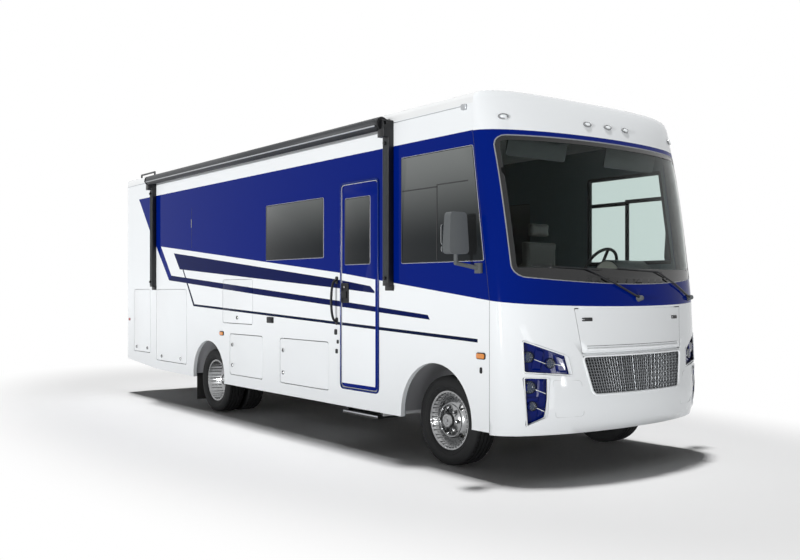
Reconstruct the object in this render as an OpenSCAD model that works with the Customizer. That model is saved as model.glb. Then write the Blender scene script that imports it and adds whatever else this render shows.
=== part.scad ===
// Front-engined motorhome on a twin-rear-wheel chassis.
// +X points forward, +Y to the driver's side, +Z up. The ground is z = 0 and the
// origin lies under the middle of the whole vehicle. Sizes are millimetres.

/* [Overall] */
// Distance between the axles
wheelbase = 4490; // [3700:10:5500]
// Front axle to the tip of the nose
front_overhang = 1250; // [1150:10:1500]
// Rear axle to the rear wall
rear_overhang = 2840; // [2600:10:3500]
// Width over the side walls
body_w = 2565; // [2130:5:3100]
// Height of the roof's middle line
roof_z = 3260; // [2700:10:3950]
// Rise of the roof from the gutter to its middle line
roof_rise = 153; // [110:1:200]
// Height of the skirt's lower edge between the axles
skirt_z = 395; // [330:5:450]
// Height of the rear cap's lower edge
tail_z = 520; // [460:5:600]

/* [Panels] */
// Thickness of the side walls, rear cap and doors
wall_t = 50; // [40:1:60]
// Thickness of the roof
roof_t = 50; // [40:1:62]
// Thickness of the front cap's moulding
cap_t = 40; // [30:1:50]
// Gap around each door and hatch
door_gap = 8; // [6:0.5:10]
// Corner radius of the hatches
hatch_r = 40; // [20:1:60]
// Depth of a hinge pin's centre behind the outer face
hinge_in = 5; // [5:0.5:6]
// Radius of the hinge pins
hinge_r = 4.5; // [3:0.1:4.8]
// Thickness of the window glass
glass_t = 6; // [4:0.5:8]
// Clearance around fixed pieces that are let into an opening
fit_gap = 0.4; // [0.3:0.1:0.8]

/* [Front cap] */
// Seam between cap and side wall, ahead of the front axle
seam_ahead = 720; // [650:5:760]
// How far the seam runs back up to the brow
seam_rake = 203; // [100:1:260]
// Height of the foremost point of the bumper, below the grille
chin_z = 680; // [620:5:690]
// Lower edge of the bumper
bumper_z = 378; // [340:1:400]
// How far the bumper tucks in at its lower edge
chin_tuck = 115; // [60:1:160]
// Backward lean of the nose, per unit of height
nose_lean = 0.1; // [0.06:0.01:0.12]
// Extra rake of the windshield at the marker lamps
screen_rake = 145; // [100:1:170]
// Side of the body to the windshield's edge at its top
screen_top_in = 82; // [60:1:140]
// Side of the body to the windshield's edge at its foot
screen_foot_in = 110; // [80:1:160]
// Height of the windshield's foot at the middle
screen_foot_z = 1602; // [1560:1:1660]
// Height of the hood's top edge
hood_top_z = 1402; // [1300:1:1440]
// Height of the hood's lower edge
hood_foot_z = 1036; // [1020:1:1100]
// Width of the hood's top edge as a share of the body's width
hood_share = 0.547; // [0.45:0.001:0.58]
// Height of the grille's upper edge
grille_top_z = 1008; // [960:1:1010]
// Height of the grille's lower edge
grille_foot_z = 700; // [640:1:760]

/* [Wheels] */
// Outer radius of the tyres
tyre_r = 398; // [330:1:420]
// Width of one tyre
tyre_w = 245; // [205:1:255]
// Radius of the bead seat of a 19.5 inch rim
bead_r = 248; // [206:0.5:260]
// Wall to the outer face of the front tyre
front_inset = 152; // [120:1:180]
// Wall to the outer face of the rear tyre
rear_inset = 82; // [70:1:110]
// Distance between the two tyres of a rear pair
twin_pitch = 280; // [250:1:300]
// Radius of the front arch
front_arch_r = 485; // [470:1:500]
// Radius of the rear arch
rear_arch_r = 450; // [440:1:480]

/* [Doors] */
// Front edge of the entry door, behind the front axle
entry_behind = 800; // [760:5:900]
// Width of the entry door
entry_w = 670; // [560:5:800]
// Lower edge of the entry door
entry_z = 587; // [540:1:640]
// Drop from the gutter to the top of the entry door
entry_drop = 512; // [430:1:600]
// Width of the first bay door, ahead of the rear wheel
bay_w = 822; // [680:2:900]
// Lower edge of the bay doors
bay_z = 525; // [470:1:560]
// Upper edge of the bay doors
bay_top_z = 1017; // [900:1:1020]
// Width of the rear hatch next to the rear cap
tail_hatch_w = 628; // [520:2:700]
// Width of the rear hatch behind the wheel
rear_hatch_w = 1020; // [850:2:1100]
// Upper edge of both rear hatches
rear_hatch_top_z = 1553; // [1450:1:1570]
// Depth of the storage bays behind their doors
bay_depth = 640; // [500:10:700]
// Top of the cabin floor
floor_z = 1060; // [1045:1:1090]

/* [Chassis] */
// Half width over the frame rails
rail_out = 432; // [400:1:450]
// Width of a frame rail
rail_w = 76; // [60:1:90]
// Lower edge of the frame rails
rail_z = 560; // [545:1:580]
// Height of a frame rail
rail_h = 240; // [200:1:260]
// Kingpin to the middle plane of its wheel
kingpin_in = 148; // [120:1:180]
// Radius of a kingpin
kingpin_r = 20; // [16:0.5:24]
// Radius of the hitch pin hole
hitch_pin_r = 8; // [6:0.5:10]

/* [Roof and side] */
// Reach of the ladder behind the rear wall
ladder_reach = 120; // [100:1:150]
// Radius of the awning roller
awning_r = 62; // [50:1:74]
// Height of the roof air conditioners
cooler_h = 225; // [180:1:240]

/* [Hidden] */
$fn = 48;

// Places along the vehicle
total_l = front_overhang + wheelbase + rear_overhang + ladder_reach;
x_nose = total_l / 2;
x_front = x_nose - front_overhang;
x_back = x_front - wheelbase;
x_rear = x_back - rear_overhang;
half_w = body_w / 2;
in_w = half_w - wall_t;
gutter_z = roof_z - roof_rise;
x_seam_low = x_front + seam_ahead;
x_seam_top = x_seam_low - seam_rake;
seam_bend_z = 1468;
brow_z = gutter_z - 238;
crown_z = gutter_z - 157;
rake_z = 1500;
body_start = x_rear + wall_t;
floor_t = 30;
floor_under = floor_z - floor_t;

// Wheels
hub_z = tyre_r;
front_wheel_y = half_w - front_inset - tyre_w / 2;
kingpin_y = front_wheel_y - kingpin_in;
rear_wheel_y = half_w - rear_inset - tyre_w / 2;
twin_y = rear_wheel_y - twin_pitch;
front_arch = [x_front + 20, 430];
rear_arch = [x_back - 10, 455];
liner_t = 10;
front_liner_r = front_arch_r + 70;
rear_liner_r = rear_arch_r + 12;

// Door openings as [rear, front, lower, upper]
entry = [x_front - entry_behind - entry_w, x_front - entry_behind, entry_z, gutter_z - entry_drop];
bay_rear_x = rear_arch[0] + rear_arch_r + 150;
bay_rear = [bay_rear_x, bay_rear_x + bay_w, bay_z, bay_top_z];
bay_front = [bay_rear[1] + 400, entry[0] - 214, bay_z, bay_top_z];
tail_hatch_box = [x_rear + 290, x_rear + 290 + tail_hatch_w, 643, rear_hatch_top_z];
rear_hatch_box = [tail_hatch_box[1] + 228, tail_hatch_box[1] + 228 + rear_hatch_w, 557,
                  rear_hatch_top_z];
access_box = [x_back + 396, x_back + 1170, 1145, 1672];

// Windows as corner lists in the side plane
function box_points(b) = [[b[0], b[2]], [b[1], b[2]], [b[1], b[3]], [b[0], b[3]]];
function seam_x(z) = z < seam_bend_z ? x_seam_low
    : x_seam_low - seam_rake * min(1, (z - seam_bend_z) / (brow_z - seam_bend_z));
cab_window_z = [1810, gutter_z - 368];
cab_window = [[x_front - 441, cab_window_z[0]],
              [seam_x(cab_window_z[0]) - 34, cab_window_z[0]],
              [seam_x(cab_window_z[1]) - 34, cab_window_z[1]],
              [x_front - 441, cab_window_z[1]]];
galley_window = box_points([entry[0] - 1508, entry[0] - 326, 1900, gutter_z - 622]);
bedroom_window = box_points([x_back - 2100, x_back - 1200, 1950, gutter_z - 600]);
dinette_window = box_points([x_front - 2700, x_front - 1300, 1850, gutter_z - 560]);
door_window = box_points([entry[0] + 102, entry[0] + 502, 1817, entry[3] - 155]);
window_r = 30;

// ---------------------------------------------------------------- outlines
function unit(v) = v / norm(v);
function bezier(a, b, c, t) = a * (1 - t) * (1 - t) + b * 2 * t * (1 - t) + c * t * t;
function rounded(p, r, steps = 5) = [
    for (i = [0 : len(p) - 1])
        let (corner = p[i],
             from = corner + r * unit(p[(i + len(p) - 1) % len(p)] - corner),
             to = corner + r * unit(p[(i + 1) % len(p)] - corner))
        for (k = [0 : steps]) bezier(from, corner, to, k / steps)];
function grown(b, d) = [b[0] - d, b[1] + d, b[2] - d, b[3] + d];

module side_slab(y_low, y_high) {
    translate([0, y_high, 0]) rotate([90, 0, 0]) linear_extrude(y_high - y_low) children();
}

module box(low, high) {
    translate(low) cube(high - low);
}

module rod(a, b, r) {
    d = b - a;
    translate(a) rotate([0, acos(d[2] / norm(d)), atan2(d[1], d[0])]) cylinder(h = norm(d), r = r);
}

// A round-ended bar between two points
module link(a, b, r) {
    hull() for (p = [a, b]) translate(p) sphere(r = r, $fn = 10);
}

module both_sides() {
    children();
    mirror([0, 1, 0]) children();
}

// ---------------------------------------------------------------- cap surface
function nose_x(z) = x_nose - (z < chin_z
    ? chin_tuck * pow((chin_z - z) / (chin_z - bumper_z), 2)
    : nose_lean * (z - chin_z)
      + (z > rake_z ? screen_rake * pow((z - rake_z) / (crown_z - rake_z), 4) : 0));
function cap_x(y, z, t = 0) = seam_x(z)
    + (nose_x(z) - t - seam_x(z)) * sqrt(max(0, 1 - pow(y / (half_w - t), 2)));
function roof_at(s, t) = gutter_z + (roof_rise - t) * pow(max(0, 1 - pow(s, 4)), 0.25);
top_lean = 0.5;

// One point of the cap, t inside its outer face; a is the bearing from the middle line
function cap_point(a, row, t) =
    let (s = sin(a), y = (half_w - t) * s)
    row <= cap_rows
    ? [cap_x(y, cap_z(row), t), y, cap_z(row)]
    : let (u = (row - cap_rows) / crown_rows,
           x0 = cap_x(y, crown_z, t), z1 = roof_at(s, t),
           p = bezier([x0, crown_z], [x0 - top_lean * cos(a) * (z1 - crown_z), z1],
                      [x_seam_top, z1], u))
      [p[0], y, p[1]];
chin_rows = 4;
cap_rows = 19;
function cap_z(row) = row <= chin_rows ? bumper_z + (chin_z - bumper_z) * row / chin_rows
    : chin_z + (crown_z - chin_z) * (row - chin_rows) / (cap_rows - chin_rows);
crown_rows = 6;
cap_columns = 36;

// A closed shell between two equal grids of points
module grid_shell(outer, inner, rows, columns) {
    n = (rows + 1) * (columns + 1);
    function at(r, c) = r * (columns + 1) + c;
    // The diagonals lean towards the middle on both sides
    front = [for (r = [0 : rows - 1], c = [0 : columns - 1], k = [0, 1])
        c < columns / 2
        ? (k == 0 ? [at(r, c), at(r + 1, c), at(r, c + 1)] : [at(r + 1, c), at(r + 1, c + 1), at(r, c + 1)])
        : (k == 0 ? [at(r, c), at(r + 1, c), at(r + 1, c + 1)] : [at(r, c), at(r + 1, c + 1), at(r, c + 1)])];
    back = [for (f = front) [f[2] + n, f[1] + n, f[0] + n]];
    edge = concat([for (c = [0 : columns - 1]) [at(0, c), at(0, c + 1)]],
                  [for (r = [0 : rows - 1]) [at(r, columns), at(r + 1, columns)]],
                  [for (c = [columns : -1 : 1]) [at(rows, c), at(rows, c - 1)]],
                  [for (r = [rows : -1 : 1]) [at(r, 0), at(r - 1, 0)]]);
    rim = [for (e = edge, k = [0, 1])
        k == 0 ? [e[0], e[1], e[1] + n] : [e[0], e[1] + n, e[0] + n]];
    polyhedron(points = concat(outer, inner), faces = concat(front, back, rim));
}

function cap_grid(t) = [for (r = [0 : cap_rows + crown_rows], c = [0 : cap_columns])
    cap_point(-90 + 180 * c / cap_columns, r, t)];

// A patch of the cap surface; limits are functions of the height fraction
function patch_grid(rows, columns, half, low, high, t) = [
    for (r = [0 : rows], c = [0 : columns])
        let (u = r / rows, y = (2 * c / columns - 1) * (half[0] + (half[1] - half[0]) * u),
             z = low + (high - low) * u)
        [cap_x(y, z) - t, y, z]];

// Points of the front view from shares of the half width
function spread(points) = [for (p = points) [p[0] * half_w, p[1]]];

// Windshield outline: half width and foot height
screen_top_z = gutter_z - 277;
screen_top_w = half_w - screen_top_in;
screen_foot_w = half_w - screen_foot_in;
screen_corner = 90;
function screen_half(z, d) =
    let (u = (z - screen_foot_z) / (screen_top_z - screen_foot_z),
         w = screen_foot_w + (screen_top_w - screen_foot_w) * u - d,
         up = max(0, screen_corner - (screen_top_z - d - z)))
    w - screen_corner + sqrt(max(0, pow(screen_corner, 2) - pow(up, 2)));
function screen_foot(y, d) = screen_foot_z + d + 62 * pow(y / screen_foot_w, 2)
    + screen_corner * (1 - sqrt(max(0, 1 - pow(max(0, abs(y) - screen_foot_w + d + screen_corner)
                                               / screen_corner, 2))));
screen_columns = 36;
screen_rows = 16;
function screen_point(p, q, d, t) =
    let (top = screen_top_z - d,
         y0 = sin(90 * p) * (screen_foot_w - d),
         z0 = screen_foot(y0, d),
         z = z0 + (top - z0) * sin(90 * q),
         y = y0 * screen_half(z, d) / screen_half(screen_foot_z, d))
    [cap_x(y, z) - t, y, z];
function screen_grid(d, t) = [for (r = [0 : screen_rows], c = [0 : screen_columns])
    screen_point(2 * c / screen_columns - 1, r / screen_rows, d, t)];
function screen_outline(d) =
    let (p = screen_grid(d, 0), m = screen_columns + 1)
    concat([for (c = [0 : screen_columns]) [p[c][1], p[c][2]]],
           [for (r = [1 : screen_rows]) [p[r * m + m - 1][1], p[r * m + m - 1][2]]],
           [for (c = [screen_columns - 1 : -1 : 0]) [p[screen_rows * m + c][1], p[screen_rows * m + c][2]]],
           [for (r = [screen_rows - 1 : -1 : 1]) [p[r * m][1], p[r * m][2]]]);

// Lamp insets in the front view, as corners of the driver's side; y is a share of the half width
upper_inset = spread([[0.883, 1146], [0.612, 1015], [0.589, 862], [0.881, 893]]);
lower_inset = spread([[0.883, 853], [0.741, 846], [0.753, 524], [0.858, 458]]);
inset_r = 15;
hood_half_w = hood_share * half_w;
hood_half_foot = hood_half_w - 50;
grille_half = [0.441, 0.505] * half_w;
wiper_pivots = spread([[0.0265, 1482], [0.732, 1481]]);

// A prism along X over rounded corners given as [y, z]
module front_prism(points, r, x0, x1) {
    hull() for (p = points)
        translate([x0, p[0], p[1]]) rotate([0, 90, 0]) cylinder(h = x1 - x0, r = r, $fn = 24);
}

function inward(points, d) =
    let (m = [for (k = [0, 1]) (points[0][k] + points[1][k] + points[2][k] + points[3][k]) / 4])
    [for (p = points) p + d * unit(m - p)];

// ---------------------------------------------------------------- chassis
cross_x = [x_rear + 230, x_back - 700, x_back + 640, x_front - 1500, x_front - 520, x_front + 940];
rail_x = [x_rear + 150, x_front + 980];
rail_top = rail_z + rail_h;

module chassis_frame() {
    color("#26282b") union() {
        both_sides() {
            difference() {
                box([rail_x[0], rail_out - rail_w, rail_z], [rail_x[1], rail_out, rail_top]);
                box([rail_x[0] - 1, rail_out - rail_w - 1, rail_z + 10],
                    [rail_x[1] + 1, rail_out - 10, rail_top - 10]);
            }
            for (x = cross_x) box([x - 40, rail_out - rail_w, rail_top - 1], [x + 40, rail_out, floor_under]);
        }
        for (x = cross_x) box([x - 30, -rail_out + 5, rail_z + 60], [x + 30, rail_out - 5, rail_top - 60]);
    }
}

gearbox_l = 480;
module engine_block() {
    color("#5c6064") union() {
        box([x_front + 160, -290, 450], [x_front + 860, 290, floor_under - 40]);
        for (x = [x_front + 250, x_front + 700]) box([x, -rail_out + 10, 640], [x + 60, rail_out - 10, 700]);
        box([x_front - gearbox_l, -150, 440], [x_front + 170, 150, 600]);
    }
}

shaft_r = 38;
shaft_z = hub_z + 82;
nose_l = 300;
module drive_shaft() {
    color("#3d4043") translate([x_back + nose_l, 0, shaft_z]) rotate([0, 90, 0])
        cylinder(h = x_front - gearbox_l - x_back - nose_l, r = shaft_r);
}

module fuel_tank() {
    color("#2c2e30") union() {
        box([x_back - 1850, -330, 450], [x_back - 790, 330, 780]);
        for (x = [x_back - 1700, x_back - 1000]) box([x, -rail_out + 10, 650], [x + 60, rail_out - 10, 690]);
    }
}

eye_r = 40;
spring_y = rail_out - rail_w / 2;
spring_low = hub_z + 60;
module front_axle() {
    color("#34373a") translate([x_front, 0, 0]) union() {
        box([-45, -kingpin_y + 150, hub_z - 98], [45, kingpin_y - 150, hub_z - 18]);
        both_sides() {
            box([-30, kingpin_y - 170, hub_z - 42], [30, kingpin_y, hub_z + 42]);
            translate([0, kingpin_y, hub_z - 46]) cylinder(h = 92, r = eye_r);
            translate([0, kingpin_y, hub_z - 98]) cylinder(h = 196, r = kingpin_r);
            box([-60, spring_y - 32, hub_z - 20], [60, spring_y + 32, spring_low]);
        }
    }
}

spindle_r = 30;
running = 0.05;
module knuckle() {
    color("#3a3d40") translate([x_front, 0, 0]) difference() {
        union() {
            for (z = [hub_z - 92, hub_z + 47]) {
                translate([0, kingpin_y, z]) cylinder(h = 45, r = 38);
                box([-30, kingpin_y, z], [30, kingpin_y + 70, z + 45]);
            }
            box([-35, kingpin_y + 44, hub_z - 92], [35, kingpin_y + 70, hub_z + 92]);
            translate([0, kingpin_y + 60, hub_z]) rotate([-90, 0, 0])
                cylinder(h = front_wheel_y + 34 - kingpin_y - 60, r = spindle_r);
        }
        translate([0, kingpin_y, hub_z - 100]) cylinder(h = 200, r = kingpin_r + running);
    }
}

module knuckle_left() { knuckle(); }
module knuckle_right() { mirror([0, 1, 0]) knuckle(); }

axle_end_r = 40;
module rear_axle() {
    color("#34373a") translate([x_back, 0, 0]) union() {
        translate([0, -twin_y + 130, hub_z]) rotate([-90, 0, 0]) cylinder(h = 2 * twin_y - 260, r = 55);
        both_sides() {
            translate([0, twin_y - 135, hub_z]) rotate([-90, 0, 0])
                cylinder(h = rear_wheel_y - 70 - twin_y + 135, r = axle_end_r);
            box([-50, spring_y - 32, hub_z], [50, spring_y + 32, spring_low]);
        }
        translate([0, 0, hub_z]) sphere(r = 150);
        translate([0, 0, shaft_z]) rotate([0, 90, 0]) cylinder(h = nose_l, r = 60);
    }
}

module leaf_pack(x, half_l) {
    for (k = [0 : 2])
        box([x - half_l * (1 - 0.25 * k), spring_y - 30, spring_low + 15 * k],
            [x + half_l * (1 - 0.25 * k), spring_y + 30, spring_low + 15 * (k + 1)]);
    for (s = [-1, 1])
        box([x + s * (half_l - 25) - 25, spring_y - 30, spring_low + 14],
            [x + s * (half_l - 25) + 25, spring_y + 30, rail_z]);
}

module leaf_springs() {
    color("#2f3235") both_sides() {
        leaf_pack(x_front, 620);
        leaf_pack(x_back, 680);
    }
}

// ---------------------------------------------------------------- wheels
module about_y(y, side) {
    translate([0, side * y, hub_z]) rotate([side > 0 ? -90 : 90, 0, 0]) children();
}

module tyre() {
    h = tyre_w / 2;
    color("#1d1e20") rotate_extrude($fn = 96) polygon([
        [bead_r, -84], [bead_r + 15, -84.5], [bead_r + 24, -100], [bead_r + 62, -h], [bead_r + 90, -h],
        [tyre_r - 12, -h + 10], [tyre_r, -h + 24], [tyre_r, h - 24], [tyre_r - 12, h - 10],
        [bead_r + 90, h], [bead_r + 62, h], [bead_r + 24, 100], [bead_r + 15, 84.5], [bead_r, 84]]);
}

rim_in = bead_r - 10;
module rim() {
    rotate_extrude($fn = 96) polygon([
        [rim_in, -94], [bead_r + 13, -94], [bead_r + 13, -86], [bead_r - 0.3, -85], [bead_r - 0.3, 85],
        [bead_r + 13, 86], [bead_r + 13, 94], [rim_in, 94]]);
}

hand_hole_r = 21;
module front_wheel() {
    color("#c9ccd0") difference() {
        union() {
            rim();
            rotate_extrude($fn = 96) polygon([
                [55, 58], [148, 58], [196, 18], [rim_in + 1, 12],
                [rim_in + 1, 24], [200, 30], [152, 70], [55, 70]]);
            translate([0, 0, -56]) cylinder(h = 128, r = 78);
            translate([0, 0, 70]) cylinder(h = 46, r = 58);
        }
        for (k = [0 : 3]) rotate(90 * k + 45) translate([178, 0, 0]) cylinder(h = 80, r = hand_hole_r);
        translate([0, 0, -60]) cylinder(h = 96, r = spindle_r + running);
    }
}

module rear_wheels() {
    m = twin_pitch / 2;
    color("#c9ccd0") difference() {
        union() {
            for (s = [-1, 1]) translate([0, 0, s * m]) rim();
            rotate_extrude($fn = 96) polygon([
                [55, 0], [170, 0], [rim_in + 1, m - 90], [rim_in + 1, m - 76], [166, 12], [55, 12]]);
            rotate_extrude($fn = 96) polygon([
                [55, -12], [166, -12], [rim_in + 1, 76 - m], [rim_in + 1, 90 - m], [170, 0], [55, 0]]);
            translate([0, 0, -110]) cylinder(h = 230, r = 76);
            translate([0, 0, 119]) cylinder(h = 26, r = 56);
        }
        for (k = [0 : 3]) rotate(90 * k + 45) translate([188, 0, -60]) cylinder(h = 120, r = hand_hole_r);
        translate([0, 0, -112]) cylinder(h = 190, r = axle_end_r + running);
    }
}

module front_place(side) { translate([x_front, 0, 0]) about_y(front_wheel_y, side) children(); }
module rear_place(y, side) { translate([x_back, 0, 0]) about_y(y, side) children(); }
module twin_tyres(side) {
    rear_place(rear_wheel_y, side) tyre();
    rear_place(twin_y, side) tyre();
}
module tyre_front_left() { front_place(1) tyre(); }
module tyre_front_right() { front_place(-1) tyre(); }
module tyres_rear_left() { twin_tyres(1); }
module tyres_rear_right() { twin_tyres(-1); }
module wheel_front_left() { front_place(1) front_wheel(); }
module wheel_front_right() { front_place(-1) front_wheel(); }
module wheels_rear_left() { rear_place((rear_wheel_y + twin_y) / 2, 1) rear_wheels(); }
module wheels_rear_right() { rear_place((rear_wheel_y + twin_y) / 2, -1) rear_wheels(); }

// ---------------------------------------------------------------- doors and hatches
pin_past = 26;
pin_running = 0.15;
// A hinge pin along a door's front edge or top edge; grow widens it for its bore
module hinge_pin(b, on_top, grow = 0) {
    past = pin_past + (grow > 0 ? 1 : 0);
    y = -half_w + hinge_in;
    if (on_top)
        translate([b[0] - past, y, b[3] - door_gap / 2]) rotate([0, 90, 0])
            cylinder(h = b[1] - b[0] + 2 * past, r = hinge_r + grow);
    else
        translate([b[1] - door_gap / 2, y, b[2] - past])
            cylinder(h = b[3] - b[2] + 2 * past, r = hinge_r + grow);
}

module opening(b, r, on_top) {
    side_slab(-half_w - 1, -in_w + 1) polygon(rounded(box_points(grown(b, door_gap / 2)), r));
    hinge_pin(b, on_top, pin_running);
}

module panel(b, r, on_top) {
    color("#f4f5f6") union() {
        side_slab(-half_w, -in_w) polygon(rounded(box_points(grown(b, -door_gap / 2)), r));
        hinge_pin(b, on_top);
    }
}

module window_cut(q) {
    side_slab(-half_w - 1, -in_w + 1) polygon(rounded(q, window_r));
}
pane_in = 4;
function quad_in(q, g) = [q[0] + [g, g], q[1] + [-g, g], q[2] + [-g, -g], q[3] + [g, -g]];
module pane(q) {
    y = -half_w + pane_in;
    color("#3b3f43") side_slab(y, y + glass_t) polygon(rounded(quad_in(q, fit_gap), window_r));
}

entry_r = 110;
// The opening's corners are tighter than the door's, so that the open door clears them
corner_ease = 12;
module entry_door() {
    color("#1b2f8f") difference() {
        union() {
            side_slab(-half_w, -in_w) polygon(rounded(box_points(grown(entry, -door_gap / 2)), entry_r));
            hinge_pin(entry, false);
        }
        window_cut(door_window);
    }
}
module entry_door_window() { pane(door_window); }
module tail_hatch() { panel(tail_hatch_box, hatch_r, true); }
module rear_hatch() { panel(rear_hatch_box, hatch_r, true); }
module access_hatch() { panel(access_box, hatch_r, true); }
module bay_door_rear() { panel(bay_rear, hatch_r, false); }
module bay_door_front() { panel(bay_front, hatch_r, false); }
module left_bay_door_rear() { mirror([0, 1, 0]) panel(bay_rear, hatch_r, false); }
module left_bay_door_front() { mirror([0, 1, 0]) panel(bay_front, hatch_r, false); }

// ---------------------------------------------------------------- body shell
wall_foot = [[body_start, tail_z - 8], [rear_hatch_box[0], skirt_z + 35],
             [rear_arch[0] - rear_arch_r, skirt_z + 20], [rear_arch[0] + rear_arch_r, skirt_z],
             [x_seam_low, skirt_z]];
seam_points = [for (r = [0 : cap_rows]) if (cap_z(r) > skirt_z + 1) [seam_x(cap_z(r)), cap_z(r)]];
wall_outline = concat(wall_foot, seam_points, [[x_seam_top, gutter_z], [body_start, gutter_z]]);

module arch_cut(c, r) {
    translate([c[0], -half_w - 1, c[1]]) rotate([-90, 0, 0]) cylinder(h = wall_t + 2, r = r);
}

module plain_wall() {
    difference() {
        side_slab(-half_w, -in_w) polygon(wall_outline);
        arch_cut(front_arch, front_arch_r);
        arch_cut(rear_arch, rear_arch_r);
        window_cut(cab_window);
        opening(bay_rear, hatch_r, false);
        opening(bay_front, hatch_r, false);
    }
}

module right_wall() {
    color("#1b2f8f") difference() {
        plain_wall();
        window_cut(galley_window);
        opening(entry, entry_r - corner_ease, false);
        opening(tail_hatch_box, hatch_r, true);
        opening(rear_hatch_box, hatch_r, true);
        opening(access_box, hatch_r, true);
    }
}

module left_wall() {
    color("#1b2f8f") mirror([0, 1, 0]) difference() {
        plain_wall();
        window_cut(dinette_window);
        window_cut(bedroom_window);
    }
}

module side_windows() {
    pane(cab_window);
    pane(galley_window);
    mirror([0, 1, 0]) {
        pane(cab_window);
        pane(dinette_window);
        pane(bedroom_window);
    }
}

function roof_curve(t, n) = [for (c = [0 : n])
    let (s = sin(-90 + 180 * c / n)) [(half_w - t) * s, roof_at(s, t)]];
function backwards(p) = [for (i = [len(p) - 1 : -1 : 0]) p[i]];

module along_x(x0, x1) {
    translate([x0, 0, 0]) rotate([90, 0, 90]) linear_extrude(x1 - x0) children();
}

module roof() {
    color("#f4f5f6") along_x(body_start, x_seam_top)
        polygon(concat(roof_curve(0, cap_columns), backwards(roof_curve(roof_t, cap_columns))));
}

corner_r = 45;
module rear_cap() {
    color("#f4f5f6") difference() {
        along_x(x_rear, body_start)
            polygon(concat(roof_curve(0, cap_columns), [[half_w, tail_z], [-half_w, tail_z]]));
        both_sides() difference() {
            box([x_rear - 1, half_w - corner_r, tail_z - 1], [x_rear + corner_r, half_w + 1, roof_z]);
            translate([x_rear + corner_r, half_w - corner_r, tail_z - 2]) cylinder(h = roof_z, r = corner_r);
        }
    }
}

floor_inset = cap_t + 90;
floor_side = [for (a = [-70 : 10 : 70])
    let (y = (half_w - floor_inset) * sin(a)) [cap_x(y, floor_z, floor_inset), y]];
stair = [entry[0] - 14, entry[1] + 14];
stair_depth = 480;
bay_wall = 12;
module bay_space(b, depth, grow, top) {
    box([b[0] - 6 - grow, -in_w, b[2] - 6 - grow], [b[1] + 6 + grow, -in_w + depth + grow, top]);
}

module floor() {
    color("#8a8070") difference() {
        translate([0, 0, floor_under]) linear_extrude(floor_t) polygon(concat(
            [[body_start, in_w], [body_start, -in_w], [x_seam_low, -in_w]],
            floor_side, [[x_seam_low, in_w]]));
        box([stair[0], -in_w - 1, floor_under - 1], [stair[1], -in_w + stair_depth, floor_z + 1]);
        for (b = [tail_hatch_box, rear_hatch_box]) translate([0, -1, 0])
            bay_space(b, bay_depth + 1, bay_wall, rear_hatch_top_z + 20);
    }
}

// The entry step: a tread under two bars that slide out between guides
step_x = [entry[0] + 30, entry[1] - 30];
step_z = [305, 355];

// A storage bay is open to its door; a low one is closed above by the floor
module storage_bay(b, depth, top) {
    closed = top > floor_z;
    difference() {
        bay_space(b, depth, bay_wall, top);
        translate([0, -1, 0]) bay_space(b, depth + 1, 0, closed ? top - bay_wall : top + 1);
    }
}

module storage_bays() {
    color("#d4d6d8") {
        both_sides() {
            storage_bay(bay_rear, bay_depth, floor_under);
            storage_bay(bay_front, bay_depth, floor_under);
        }
        for (b = [tail_hatch_box, rear_hatch_box]) storage_bay(b, bay_depth, b[3] + 6 + bay_wall);
        storage_bay(access_box, 300, access_box[3] + 6 + bay_wall);
        difference() {
            box([stair[0] - bay_wall, -in_w, entry_z - 18],
                [stair[1] + bay_wall, -in_w + stair_depth + bay_wall, floor_under]);
            box([stair[0], -in_w - 1, entry_z - 6], [stair[1], -in_w + 240, floor_under + 1]);
            box([stair[0], -in_w - 1, entry_z + 210], [stair[1], -in_w + stair_depth, floor_under + 1]);
        }
        // Guides that the sliding step's bars run between
        for (x = [step_x[0] + 7.6 - 8, step_x[1] - 7.6])
            box([x, -in_w + 20, step_z[1] - 6], [x + 8, -in_w + stair_depth, entry_z - 18]);
    }
}

module liner(c, r, y_low) {
    translate([c[0], y_low, c[1]]) rotate([-90, 0, 0]) rotate([0, 0, 180])
        rotate_extrude(angle = 180) translate([r, 0]) square([liner_t, in_w - y_low]);
}
module wheel_liners() {
    color("#b9bbbe") both_sides() {
        liner(front_arch, front_liner_r, 620);
        liner(rear_arch, rear_liner_r, 620);
    }
}

// ---------------------------------------------------------------- front
module cap_shell() {
    grid_shell(cap_grid(0), cap_grid(cap_t), cap_rows + crown_rows, cap_columns);
}

// A closed piece of the nose between two depths behind its face; taper narrows its back
module nose_patch(half, low, high, t0, t1, rows = 6, columns = 24, taper = 0) {
    grid_shell(patch_grid(rows, columns, half, low, high, t0),
               patch_grid(rows, columns, half - [taper, taper], low, high, t1), rows, columns);
}

hood_gap = 5;
lip_t = 18;
lip_half = hood_half_foot - 20;
cut_back = x_nose - 700;
hood_points = [[hood_half_w, hood_top_z], [hood_half_foot, hood_foot_z],
               [-hood_half_foot, hood_foot_z], [-hood_half_w, hood_top_z]];
grille_points = [[grille_half[1], grille_top_z], [grille_half[0], grille_foot_z],
                 [-grille_half[0], grille_foot_z], [-grille_half[1], grille_top_z]];
wiper_hole_r = 13;
hood_t = 20;
hood_taper = 6;

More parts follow.
